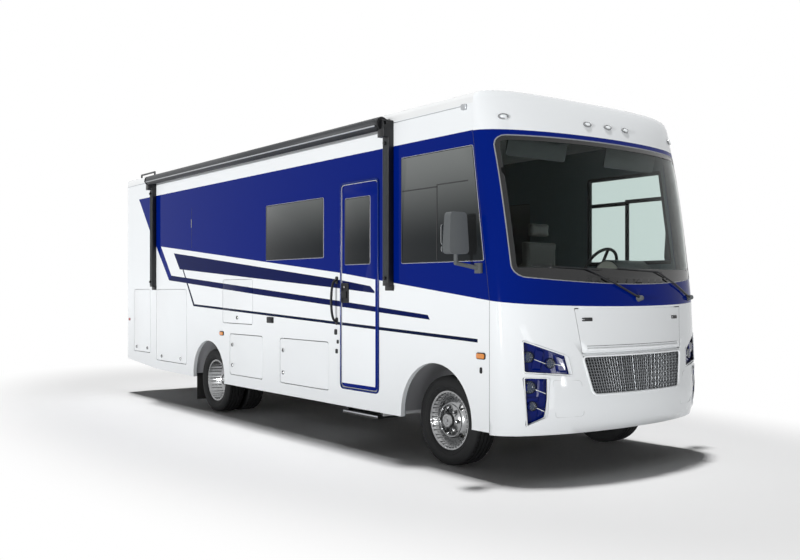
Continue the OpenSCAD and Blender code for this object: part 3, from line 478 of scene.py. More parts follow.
def spring_steel(tree, place):
    # Oil-black spring leaves with traces of rust along their faces
    rust = add(tree, "noise", add(tree, "stretch", place, (1 / 4, 1, 1)), per_mm(35), 7)
    surface(tree, add(tree, "mix", rust, "#1C1D1F", "#3B2F28"), add(tree, "range", rust, 0.4, 0.8),
            add(tree, "noise", place, per_mm(5), 3), 0.2, Metallic=0.4)


def floor_board(tree, place):
    # Plywood floor under vinyl: warm grey-brown with long grain
    rings = add(tree, "noise", add(tree, "stretch", place, (1 / 14, 1, 1)), per_mm(25), 6)
    surface(tree, add(tree, "mix", rings, "#6B5D4D", "#857560"), 0.6, rings, 0.3)


def bay_plastic(tree, place):
    # Rotomoulded storage bins: pale grey with a pebbled skin
    surface(tree, add(tree, "mix", add(tree, "noise", place, per_mm(80), 3), "#B4B7B9", "#C3C5C7"), 0.6,
            add(tree, "noise", place, per_mm(3), 3), 0.25)


def liner_plastic(tree, place):
    # Vacuum-formed arch liners: black, pebbled, dusty low down
    surface(tree, add(tree, "mix", add(tree, "noise", place, per_mm(150), 5), "#0C0D0E", "#151617"), 0.7,
            add(tree, "noise", place, per_mm(4), 3), 0.4, Specular_IOR_Level=0.08)


def laminated_glass(tree, place):
    # Laminated windshield: clear with a faint green cast, smooth, with a black printed edge on its
    # own piece
    surface(tree, "#E8F1EE", add(tree, "range", add(tree, "noise", place, per_mm(700), 3), 0.0, 0.015),
            Transmission_Weight=1.0, IOR=1.12)


def privacy_glass(tree, place):
    # Frameless tinted side windows: dark grey film, lighter towards the top with a painted reflection of
    # the sky
    # Painted reflection: the colour rises with height from the film's dark grey to a pale sky grey
    rise = add(tree, "ramp", add(tree, "z of", place), 1.95, 2.85)
    tint_and_painted_sky = add(tree, "mix", rise, "#1F2224", "#727574")
    wave = add(tree, "noise", place, per_mm(500), 2)
    surface(tree, tint_and_painted_sky, add(tree, "range", wave, 0.04, 0.09), wave, 0.15, Specular_IOR_Level=0.06)


def cab_glass(tree, place):
    # The driver's window: lightly tinted toughened glass
    surface(tree, "#D4DEDC", add(tree, "range", add(tree, "noise", place, per_mm(700), 3), 0.0, 0.02),
            Transmission_Weight=1.0, IOR=1.1)


def black_rubber(tree, place):
    # Extruded rubber seals and trims: near black, fine grain, dull sheen
    surface(tree, add(tree, "mix", add(tree, "noise", place, per_mm(30), 3), "#101113", "#1B1C1E"),
            add(tree, "range", add(tree, "noise", place, per_mm(8), 3), 0.45, 0.6),
            add(tree, "noise", place, per_mm(2), 3), 0.1)


def grey_gasket(tree, place):
    # Grey rubber filler strip round the windshield: matt, slightly mottled
    surface(tree, add(tree, "mix", add(tree, "noise", place, per_mm(20), 3), "#77797C", "#8C8E90"), 0.45,
            add(tree, "noise", place, per_mm(3), 3), 0.1)


def glazed_black(tree, place):
    # Black ceramic print on glass: glossy and even, seen through the glass face
    surface(tree, add(tree, "mix", add(tree, "noise", place, per_mm(15), 3), "#08090A", "#0E0F11"),
            add(tree, "range", add(tree, "noise", place, per_mm(200), 3), 0.08, 0.14))


def moulded_black(tree, place):
    # Injection-moulded ABS: black with a fine spark-eroded grain
    surface(tree, add(tree, "mix", add(tree, "noise", place, per_mm(50), 3), "#131416", "#1D1E21"),
            add(tree, "range", add(tree, "noise", place, per_mm(10), 3), 0.35, 0.5),
            add(tree, "noise", place, per_mm(1.6), 3), 0.12, Specular_IOR_Level=0.25)


def mirror_plastic(tree, place):
    # Moulded mirror shells: charcoal, satin, fine grain; on the awning arms' ribs the same lighter
    # charcoal is a painted highlight
    surface(tree, add(tree, "mix", add(tree, "noise", place, per_mm(60), 3), "#2D2F33", "#393B40"),
            add(tree, "range", add(tree, "noise", place, per_mm(9), 3), 0.33, 0.45),
            add(tree, "noise", place, per_mm(1.8), 3), 0.12, Specular_IOR_Level=0.3)


def silvered_glass(tree, place):
    # Mirror glass: silver behind a flat pane
    surface(tree, "#D9DCDE", add(tree, "range", add(tree, "noise", place, per_mm(90), 3), 0.01, 0.04),
            Metallic=1.0)


def white_plastic(tree, place):
    # Vacuum-formed ABS roof housings: warm white, satin
    surface(tree, add(tree, "mix", add(tree, "noise", place, per_mm(180), 3), "#DFE0DE", "#ECECEA"),
            add(tree, "range", add(tree, "noise", place, per_mm(25), 3), 0.3, 0.45),
            add(tree, "noise", place, per_mm(6), 2), 0.15)


def powder_black(tree, place):
    # Powder-coated aluminium: black, satin, faint orange peel
    surface(tree, add(tree, "mix", add(tree, "noise", place, per_mm(70), 3), "#111214", "#1C1D20"),
            add(tree, "range", add(tree, "noise", place, per_mm(6), 3), 0.25, 0.4),
            add(tree, "noise", place, per_mm(2.5), 2), 0.15, Metallic=0.2)


def awning_cloth(tree, place):
    # Vinyl-coated awning fabric, rolled: charcoal with a fine rib round the roll
    x = add(tree, "x of", place)
    # Ribs 12 mm apart, coarser than the real 1 mm weave so that they show
    ribs = add(tree, "sine", add(tree, "multiply", x, math.tau / 0.012))
    surface(tree, add(tree, "mix", add(tree, "noise", place, per_mm(300), 4), "#1B1D20", "#2C2F33"), 0.55,
            ribs, 0.15)


def chrome(tree, place):
    # Bright chrome over pressed steel: mirror-like, with faint press waves
    surface(tree, add(tree, "mix", add(tree, "noise", place, per_mm(50), 3), "#8F9091", "#A9AAAB"),
            add(tree, "range", add(tree, "noise", place, per_mm(30), 3), 0.12, 0.26),
            add(tree, "noise", place, per_mm(60), 2), 0.15, Metallic=1.0)


def bare_aluminium(tree, place):
    # Brushed aluminium: fine lines along its length
    lines = add(tree, "noise", add(tree, "stretch", place, (1 / 60, 1, 1)), per_mm(3), 2)
    surface(tree, add(tree, "mix", lines, "#A9ACAF", "#C2C5C8"), add(tree, "range", lines, 0.25, 0.4),
            lines, 0.03, Metallic=1.0)


def grille_wire(tree, place):
    # Woven stainless wire: bright grey, with worn highlights on its crowns
    surface(tree, add(tree, "mix", add(tree, "noise", place, per_mm(9), 3), "#6E7174", "#94979A"),
            add(tree, "range", add(tree, "noise", place, per_mm(5), 3), 0.32, 0.5),
            add(tree, "noise", place, per_mm(3), 3), 0.05, Metallic=0.85)


def dark_void(tree, place):
    # Backing behind a screen: near black, its own dark colour deepened into painted shade for the space
    # behind the screen; matt and slightly dusty
    surface(tree, add(tree, "mix", add(tree, "noise", place, per_mm(60), 3), "#070809", "#121315"), 0.85,
            add(tree, "noise", place, per_mm(15), 3), 0.5)


def lamp_blue(tree, place):
    # Blue painted lamp housings under clear lens covers: high gloss with a fine metallic flake
    flake = add(tree, "noise", place, per_mm(4), 2)
    surface(tree, add(tree, "mix", flake, "#000D4A", "#00186B"), add(tree, "range", flake, 0.08, 0.2),
            Specular_IOR_Level=0.08, Coat_Weight=0.15, Coat_Roughness=0.02)


def lens_clear(tree, place):
    # Clear polycarbonate lens with moulded flutes
    y = add(tree, "y of", place)
    flutes = add(tree, "sine", add(tree, "multiply", y, math.tau / 0.008))
    surface(tree, "#E6EBEE", 0.06, flutes, 0.6, Metallic=0.55, Coat_Weight=1.0)


def lens_amber(tree, place):
    # Amber acrylic lens with a fine prism pattern
    prisms = add(tree, "noise", place, per_mm(5), 1)
    surface(tree, add(tree, "mix", prisms, "#C46A10", "#E8932A"), 0.15, prisms, 0.5, Coat_Weight=0.8)


def lens_red(tree, place):
    # Red acrylic lens with a fine prism pattern
    prisms = add(tree, "noise", place, per_mm(5), 1)
    surface(tree, add(tree, "mix", prisms, "#7E0A10", "#B8141C"), 0.15, prisms, 0.5, Coat_Weight=0.8)


def dash_vinyl(tree, place):
    # Padded vinyl dashboard: pale warm grey on top with a leather grain
    cells = add(tree, "noise", place, per_mm(5), 5)
    surface(tree, add(tree, "mix", cells, "#A9A69E", "#BAB7AF"), 0.6, cells, 0.5)


def dark_vinyl(tree, place):
    # Dark leather-grained vinyl on the instrument hood and seats' sides
    cells = add(tree, "noise", place, per_mm(5), 5)
    surface(tree, add(tree, "mix", cells, "#26282A", "#34373A"), 0.55, cells, 0.4)


def seat_leather(tree, place):
    # Soft bonded leather: taupe, creased, with lighter rubbed crowns
    creases = add(tree, "noise", place, per_mm(14), 7)
    surface(tree, add(tree, "mix", add(tree, "noise", place, per_mm(160), 3), "#3B3A3A", "#4B4947"),
            add(tree, "range", creases, 0.4, 0.6), creases, 0.8, Sheen_Weight=0.15)


def flap_rubber(tree, place):
    # Sheet rubber mud flaps: black, matt, dusty at the bottom
    surface(tree, add(tree, "mix", add(tree, "noise", place, per_mm(90), 6), "#0F1011", "#242424"), 0.7,
            add(tree, "noise", place, per_mm(4), 3), 0.3)


def tyre_rubber(tree, place):
    # Carbon-black tyre rubber: matt, greyer where it has bloomed, with a fine moulded grain
    bloom = add(tree, "noise", place, per_mm(70), 6)
    surface(tree, add(tree, "mix", bloom, "#131314", "#242526"), add(tree, "range", bloom, 0.55, 0.8),
            add(tree, "noise", place, per_mm(3), 3), 0.25, Specular_IOR_Level=0.2)


def seam_shadow(tree, place):
    # Dark sealant in the seams between panels: matt grey-black
    surface(tree, add(tree, "mix", add(tree, "noise", place, per_mm(12), 3), "#2A2C30", "#43464B"), 0.8,
            add(tree, "noise", place, per_mm(4), 3), 0.1)


def pale_seal_and_painted_light(tree, place):
    # Off-white sealant and painted trim strips, also used for painted light: the painted highlight round
    # the entry door and the painted shade lines round the bumper's panels; satin, faintly uneven
    surface(tree, add(tree, "mix", add(tree, "noise", place, per_mm(40), 3), "#C7CACC", "#D6D8DA"), 0.4,
            add(tree, "noise", place, per_mm(6), 3), 0.15)


def trim_blue(tree, place):
    # Painted aluminium door frame: deep blue with a hard gloss and bright edges
    wave = add(tree, "noise", place, per_mm(35), 3)
    surface(tree, add(tree, "mix", wave, "#001A5C", "#082A78"), add(tree, "range", wave, 0.08, 0.16),
            wave, 0.1, Specular_IOR_Level=0.1, Coat_Weight=0.06, Coat_Roughness=0.03)


def headliner_cloth(tree, place):
    # Foam-backed knitted headlining: dark warm grey with a fine nap
    nap = add(tree, "noise", place, per_mm(5), 6)
    surface(tree, add(tree, "mix", nap, "#3A3937", "#474542"), 0.9, nap, 0.5, Sheen_Weight=0.3)


def dark_lid(tree, place):
    # Smoked acrylic vent lids: dark brown-grey, glossy, faintly crazed
    craze = add(tree, "noise", place, per_mm(30), 5)
    surface(tree, add(tree, "mix", craze, "#2A2623", "#393430"), add(tree, "range", craze, 0.12, 0.25),
            craze, 0.1)


def lens_smoked(tree, place):
    # Lamp lenses over dark bowls: blue-grey, glossy, with fine moulded rings
    rings = add(tree, "noise", place, per_mm(6), 3)
    surface(tree, add(tree, "mix", rings, "#1B2638", "#3C4A60"), 0.08, rings, 0.3, Specular_IOR_Level=0.4)


MATERIALS = (lens_smoked, trim_blue, headliner_cloth, dark_lid, gelcoat, nose_paint, door_paint,
             inner_lining, roof_membrane, steel_paint, cast_iron, tank_plastic, spring_steel, floor_board,
             bay_plastic, liner_plastic, laminated_glass, privacy_glass, cab_glass, black_rubber,
             grey_gasket, glazed_black, moulded_black, mirror_plastic, silvered_glass, white_plastic,
             powder_black, awning_cloth, chrome, bare_aluminium, grille_wire, dark_void, lamp_blue,
             lens_clear, lens_amber, lens_red, dash_vinyl, dark_vinyl, seat_leather, flap_rubber,
             tyre_rubber, seam_shadow, pale_seal_and_painted_light)


def material(name):
    """The material of that name, made when it is first asked for."""
    if name in bpy.data.materials:
        return bpy.data.materials[name]
    made = bpy.data.materials.new(name)
    made.use_nodes = True
    {make.__name__: make for make in MATERIALS}[name](made.node_tree, add(made.node_tree, "place"))
    return made


# Finish of every CAD node that stays in view
NODE_FINISHES = {
    "steel_paint": ["chassis_frame", "drive_shaft", "front_axle", "rear_axle", "knuckle_left",
                    "knuckle_right", "hitch_receiver"],
    "cast_iron": ["engine_block"],
    "tank_plastic": ["fuel_tank"],
    "spring_steel": ["leaf_springs"],
    "floor_board": ["floor"],
    "bay_plastic": ["storage_bays"],
    "liner_plastic": ["wheel_liners"],
    "gelcoat": ["right_wall", "left_wall", "tail_hatch", "rear_hatch", "access_hatch", "bay_door_rear",
                "bay_door_front", "left_bay_door_rear", "left_bay_door_front"],
    "roof_membrane": ["roof"],
    "nose_paint": ["front_cap", "hood", "rear_cap"],
    "laminated_glass": ["windshield"],
    "privacy_glass": ["side_windows", "entry_door_window"],
    # The grille's backing is painted shade for the dark space behind its screen
    "dark_void": ["grille"],
    "lamp_blue": ["headlights"],
    "lens_red": ["tail_lamps"],
    "awning_cloth": ["awning_roller"],
    "powder_black": ["awning_arms", "ladder", "entry_step"],
    "mirror_plastic": ["mirrors"],
    "white_plastic": ["roof_units"],
    "moulded_black": ["wipers", "steering_wheel", "grab_handle"],
    "dash_vinyl": ["dashboard"],
    "seat_leather": ["cab_seats"],
    "flap_rubber": ["mud_flaps"],
    "door_paint": ["entry_door"],
    "tyre_rubber": ["tyre_front_left", "tyre_front_right", "tyres_rear_left", "tyres_rear_right"],
    "chrome": ["wheel_front_left", "wheel_front_right", "wheels_rear_left", "wheels_rear_right"],
}


# ------------------------------------------------------------------ settings
class MotorhomePaint(bpy.types.PropertyGroup):
    """Colours of the outside."""

    field: bpy.props.FloatVectorProperty(
        name="Field blue", description="Blue of the large painted field", subtype="COLOR", size=3,
        min=0, max=1, default=srgb("#001A72")[:3])
    stripe: bpy.props.FloatVectorProperty(
        name="Stripe navy", description="Navy of the stripes below the field", subtype="COLOR", size=3,
        min=0, max=1, default=srgb("#000F48")[:3])
    line: bpy.props.FloatVectorProperty(
        name="Line navy", description="Dark navy of the thin line", subtype="COLOR", size=3,
        min=0, max=1, default=srgb("#0A1533")[:3])
    white: bpy.props.FloatVectorProperty(
        name="Body white", description="White of the panels", subtype="COLOR", size=3,
        min=0, max=1, default=srgb("#E9ECEE")[:3])


class MotorhomeStage(bpy.types.PropertyGroup):
    """Light and floor."""

    sun: bpy.props.FloatProperty(
        name="Overhead light", description="Strength of the soft light from above", default=2.40, min=0)
    sky: bpy.props.FloatProperty(
        name="Sky light", description="Strength of the light from all round", default=0.06, min=0)
    softness: bpy.props.FloatProperty(
        name="Softness", description="Angular size of the light from above", subtype="ANGLE",
        default=math.radians(5), min=0)


# ------------------------------------------------------------------ stage
class MOTORHOME_OT_stage(bpy.types.Operator):
    """Sets the floor, the lights and the camera"""

    bl_idname = "motorhome.stage"
    bl_label = "Stage"

    def execute(self, context):
        stage = context.scene.motorhome_stage
        floor = primitive("plane", size=90)
        floor.name = "studio_floor"
        floor.data.materials.append(self.floor_paint())

        # Where each light comes from, its share of the strength and its angular size
        for name, source, share, size in (("overhead_light", (-0.15, 0.02, 1.0), 1.0, stage.softness),
                                          ("side_light", (0.22, -0.97, 0.0), 0.97, math.radians(4)),
                                          ("front_light", (0.97, 0.15, 0.0), 0.33, math.radians(4))):
            light = bpy.data.lights.new(name, "SUN")
            light.energy = stage.sun * share
            light.angle = size
            lamp = bpy.data.objects.new(name, light)
            lamp.rotation_euler = Vector(source).to_track_quat("Z", "Y").to_euler()
            context.collection.objects.link(lamp)

        self.world(context.scene, stage)
        camera = bpy.data.cameras.new("camera")
        camera.sensor_width = 36
        camera.lens = 40.74
        camera.shift_y = 0.0107
        camera.clip_end = 200
        eye = bpy.data.objects.new("camera", camera)
        eye.location = (9.224, -6.298, 1.565)
        eye.rotation_euler = (math.radians(90), 0, math.radians(52.78))
        context.collection.objects.link(eye)
        context.scene.camera = eye
        context.scene.view_settings.view_transform = "Standard"
        return {"FINISHED"}

    def floor_paint(self):
        """A white floor that keeps the shadow near the vehicle and is plain white far from it."""
        made = bpy.data.materials.new("studio_white")
        made.use_nodes = True
        tree = made.node_tree
        place = add(tree, "place")
        surface(tree, add(tree, "mix", add(tree, "noise", place, per_mm(2000), 3), "#F2F2F2", "#F5F5F5"),
                0.9, Specular_IOR_Level=0.0)
        # The white begins outside an oval round the vehicle's shadow
        away = add(tree, "length", add(tree, "scale", place, (1, 2.2, 0)))
        far = add(tree, "multiply", add(tree, "ramp", away, 6.1, 9.6), self.seen(tree))
        white = add(tree, "blend", far, tree.nodes["Principled BSDF"].outputs[0], add(tree, "glow", 1.0))
        feed(tree, tree.nodes["Material Output"].inputs[0], white)
        return made

    def world(self, scene, stage):
        """White behind the vehicle and in its reflections, softer as a light."""
        scene.world = bpy.data.worlds.new("studio")
        scene.world.use_nodes = True
        tree = scene.world.node_tree
        background = tree.nodes["Background"].inputs
        feed(tree, background["Color"], (1, 1, 1, 1))
        feed(tree, background["Strength"], add(tree, "range", self.seen(tree), stage.sky, 1.0))

    def seen(self, tree):
        """1 for the rays that the viewer, metal and glass send out."""
        return either(tree, *[add(tree, kind) for kind in ("camera ray", "glossy ray", "clear ray")])


class MOTORHOME_OT_node_finishes(bpy.types.Operator):
    """Gives every part of the frame its material"""

    bl_idname = "motorhome.node_finishes"
    bl_label = "Frame finishes"

    def execute(self, context):
        for finish, names in NODE_FINISHES.items():
            for name in names:
                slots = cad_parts[name].data.materials
                slots.clear()
                slots.append(material(finish))
        return {"FINISHED"}


# ------------------------------------------------------------------ shapes shared by pieces
WHEEL_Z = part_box("tyre_front_left")[1].z / 2
CAB_AXLE_X = (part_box("tyre_front_left")[0].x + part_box("tyre_front_left")[1].x) / 2
REAR_AXLE_X = (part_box("tyres_rear_left")[0].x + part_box("tyres_rear_left")[1].x) / 2
CROWN_Z = GUTTER_Z - 0.157
CHIN_Z = 0.68


def seam_at(z):
    """Length at which the front's skin meets the side walls."""
    rise = min(1, max(0, (z - 1.468) / (GUTTER_Z - 0.238 - 1.468)))
    return SEAM_X - (SEAM_X - ROOF_END_X) * rise


def nose_at(z):
    """Length of the nose on the middle line."""
    if z < CHIN_Z:
        return NOSE_X - 0.115 * ((CHIN_Z - z) / 0.302) ** 2
    rake = 0.145 * ((z - 1.5) / (CROWN_Z - 1.5)) ** 4 if z > 1.5 else 0
    return NOSE_X - 0.1 * (z - CHIN_Z) - rake


def on_cap(y, z, proud=0.0):
    """A point on the front's curved skin, or a little proud of it."""
    out = abs(WALL_Y) + proud
    reach = math.sqrt(max(0, 1 - (y / out) ** 2))
    return Vector((seam_at(z) + (nose_at(z) + proud - seam_at(z)) * reach, y, z))


def on_nose(obj, y, z, proud=0.0):
    """Sets a piece made about +z upright on the front's skin."""
    across = on_cap(y + 0.01, z) - on_cap(y - 0.01, z)
    up = on_cap(y, z + 0.01) - on_cap(y, z - 0.01)
    out = across.cross(up).normalized()
    side = across.normalized()
    turn = Matrix((side, out.cross(side), out)).transposed().to_4x4()
    obj.data.transform(Matrix.Translation(on_cap(y, z, proud)) @ turn)
    return obj


def on_wheel(obj, x, y, side):
    """Sets a piece made about +z on an axle; its +z then points out of the vehicle."""
    return placed(obj, (x, side * y, WHEEL_Z), -90 * side, "X")


def rounded(corners, radius, steps=5):
    """A closed outline with each of its corners rounded by a curve."""
    corners = [Vector(corner) for corner in corners]
    points = []
    for before, corner, after in zip(corners[-1:] + corners[:-1], corners, corners[1:] + corners[:1]):
        start = corner + (before - corner).normalized() * radius
        end = corner + (after - corner).normalized() * radius
        for k in range(steps + 1):
            t = k / steps
            points.append(start.lerp(corner, t).lerp(corner.lerp(end, t), t))
    return points


def rectangle(x, z, width, height, radius, steps=5):
    """A rounded rectangle round a centre."""
    w, h = width / 2, height / 2
    return rounded([(x - w, z - h), (x + w, z - h), (x + w, z + h), (x - w, z + h)], radius, steps)


def on_side(points, side, proud=0.0):
    """Puts (x, z) points on a side wall's face."""
    return [(p[0], side * (abs(WALL_Y) + proud), p[1]) for p in points]


def side_plate(points, side, depth, edge=0.0, start=0.0):
    """A plate that stands proud of a side wall over an outline of (x, z) points."""
    return plate(on_side(points, side, start), (0, side, 0), depth, edge)


def turned_on_side(profile, x, z, side, steps=24):
    """A turned piece whose axis points out of a side wall."""
    obj = lathed(profile, steps)
    return placed(obj, (x, side * abs(WALL_Y), z), -90 * side, "X")


# ------------------------------------------------------------------ front
class MOTORHOME_OT_front_skin(bpy.types.Operator):
    """Smooths the moulded front, the hood and the windshield"""

    bl_idname = "motorhome.front_skin"
    bl_label = "Front skin"

    def execute(self, context):
        cap = merged_node("front_cap")
        finished(cap, "front_skin", "nose_paint", degrees=38, replaces=["front_cap"])
        cap.data.materials.append(material("inner_lining"))
        for face in cap.data.polygons:
            heart = Vector((3.2, 0, min(face.center.z, 2.5)))
            inwards = face.normal.dot((face.center - heart).normalized()) < -0.35
            face.material_index = 1 if inwards else 0
        finished(merged_node("hood"), "hood_skin", "nose_paint", "hood", degrees=38, replaces=["hood"])
        finished(merged_node("windshield"), "windshield_pane", "laminated_glass", degrees=60,
                 replaces=["windshield"])
        return {"FINISHED"}


class MOTORHOME_OT_windshield_trim(bpy.types.Operator):
    """Adds the windshield's gasket and its printed black border"""

    bl_idname = "motorhome.windshield_trim"
    bl_label = "Windshield trim"

    def execute(self, context):
        skin = merged_node("windshield")
        with editing(skin):
            choose(skin, "FACE", lambda face: not self.is_outer(face))
            bpy.ops.mesh.delete(type="FACE")
        print_ = copied(skin)
        with editing(skin, "EDGE"):
            choose(skin, "EDGE", lambda edge: not edge.is_boundary)
            bpy.ops.mesh.delete(type="EDGE_FACE")
        only(skin)
        bpy.ops.object.convert(target="CURVE")
        skin = context.object
        skin.data.bevel_depth = 0.0065
        skin.data.bevel_resolution = 3
        bpy.ops.object.convert(target="MESH")
        finished(context.object, "windshield_gasket", "grey_gasket", degrees=60)

        # The border: a ring along the edge, and a deeper band over the foot of the glass
        foot = copied(print_)
        with editing(print_):
            bpy.ops.mesh.inset(thickness=0.045, use_boundary=True)
            bpy.ops.mesh.delete(type="FACE")
        with editing(foot):
            bpy.ops.mesh.bisect(plane_co=(0, 0, 1.735), plane_no=(0, 0, 1), clear_outer=True)
        border = joined([print_, foot])
        apply(border, "SOLIDIFY", thickness=0.0012, offset=1.0)
        finished(border, "windshield_border", "glazed_black", degrees=60)
        return {"FINISHED"}

    def is_outer(self, face):
        """True for the faces of the glass that look out of the vehicle."""
        centre = face.calc_center_median()
        gap = on_cap(centre.y, centre.z).x - centre.x
        return face.normal.x > 0.05 and gap < 0.011 / max(0.2, face.normal.x)


class MOTORHOME_OT_grille_screen(bpy.types.Operator):
    """Weaves the grille's wire screen and frames it"""

    bl_idname = "motorhome.grille_screen"
    bl_label = "Grille screen"

    def execute(self, context):
        low_z, high_z = 0.697, 1.011
        low_half, high_half = 0.568, 0.652
        columns, rows = 46, 13
        weave, wire = 0.0022, 0.0034

        def place(across, up, lift):
            half = low_half + (high_half - low_half) * up
            return on_cap(across * half, low_z + (high_z - low_z) * up, lift - 0.016)

        wires = []
        for i in range(columns + 1):
            across = 2 * i / columns - 1
            path = [place(across, j / rows, weave * (1 if (i + j) % 2 else -1)) for j in range(rows + 1)]
            wires.append(tube(path, wire, sides=4))
        for j in range(rows + 1):
            path = [place(2 * i / columns - 1, j / rows, weave * (-1 if (i + j) % 2 else 1))
                    for i in range(columns + 1)]
            wires.append(tube(path, wire, sides=4))
        finished(joined(wires), "grille_screen", "grille_wire", degrees=50)

        corners = [(-0.650, 1.012), (0.650, 1.012), (0.566, 0.696), (-0.566, 0.696)]
        edge = self.along(rounded(corners, 0.05))
        finished(tube([on_cap(*p, -0.002) for p in edge], 0.010, closed=True, sides=10), "grille_frame",
                 "nose_paint", degrees=60)
        return {"FINISHED"}

    def along(self, points, steps=16):
        """More points along a closed outline, so that it follows the curved skin."""
        dense = []
        for start, end in zip(points, points[1:] + points[:1]):
            count = max(1, int((end - start).length * steps))
            dense += [start.lerp(end, k / count) for k in range(count)]
        return dense


class MOTORHOME_OT_front_details(bpy.types.Operator):
    """Adds the hood's bar and inlets, painted shade lines round the bumper's panels and the roof lamps"""

    bl_idname = "motorhome.front_details"
    bl_label = "Front details"

    def execute(self, context):
        bar_ = tube([on_cap(y * 0.1, 1.068, -0.003) for y in range(-6, 7)], 0.012, sides=10)
        finished(bar_, "hood_bar", "nose_paint", "hood", degrees=60)
        line = tube([on_cap(y * 0.1, 1.094, 0.0) for y in range(-6, 7)], 0.0022, sides=6)
        finished(line, "hood_crease", "seam_shadow", "hood")
        for name, side in SIDES.items():
            slot = plate([(p[0], p[1], 0) for p in rectangle(0, 0, 0.105, 0.03, 0.008)], (0, 0, 1), 0.006,
                         0.002)
            finished(on_nose(slot, side * 0.58, 1.311, -0.002), f"hood_inlet_{name}", "moulded_black",
                     "hood")
            cap_ = primitive("uv_sphere", radius=0.008, segments=16, ring_count=8)
            with editing(cap_):
                bpy.ops.mesh.bisect(plane_co=(0, 0, 0), plane_no=(0, 0, -1), clear_outer=True,
                                    use_fill=True)
            finished(on_nose(cap_, side * 0.58 - 0.038, 1.311, 0.003), f"hood_inlet_screw_{name}",
                     "chrome", "hood")
            # The step round each recessed bumper panel, drawn as a thin grey line whose grey is painted
            # shade along the step
            panel = rounded([(side * 0.927, 0.828), (side * 0.677, 0.818), (side * 0.642, 0.526),
                             (side * 0.893, 0.523)], 0.03)
            painted_shade_line = tube([on_cap(*p, -0.0005) for p in panel], 0.0025, closed=True, sides=6)
            finished(painted_shade_line, f"bumper_shade_line_{name}", "pale_seal_and_painted_light", degrees=60)
            seam = [(seam_at(z), side * abs(WALL_Y), z) for z in (0.4, 1.468, 1.9, 2.4, GUTTER_Z - 0.238)]
            finished(tube(seam, 0.0016, sides=6), f"front_seam_{name}", "seam_shadow")
        for number, y in enumerate((-1.104, -0.259, 0.0, 0.245, 1.1)):
            self.roof_lamp(number, y)
        return {"FINISHED"}

    def roof_lamp(self, number, y):
        """An oval clearance lamp: a chrome rim round a clear dome."""
        z = 2.983
        rim = lathed([(0.031, 0), (0.033, 0.006), (0.031, 0.014), (0.026, 0.016), (0.024, 0.010),
                      (0.024, 0.0)], 32)
        dome = lathed([(0.0, 0.022), (0.010, 0.021), (0.018, 0.017), (0.0245, 0.009), (0.0245, 0.0),
                       (0.0, 0.0)], 32)
        for obj, name, finish in ((rim, "rim", "chrome"), (dome, "lens", "lens_clear")):
            obj.data.transform(Matrix.Diagonal((1.45, 0.8, 1, 1)))
            finished(on_nose(obj, y, z, -0.001), f"roof_lamp_{name}_{number}", finish, degrees=50)


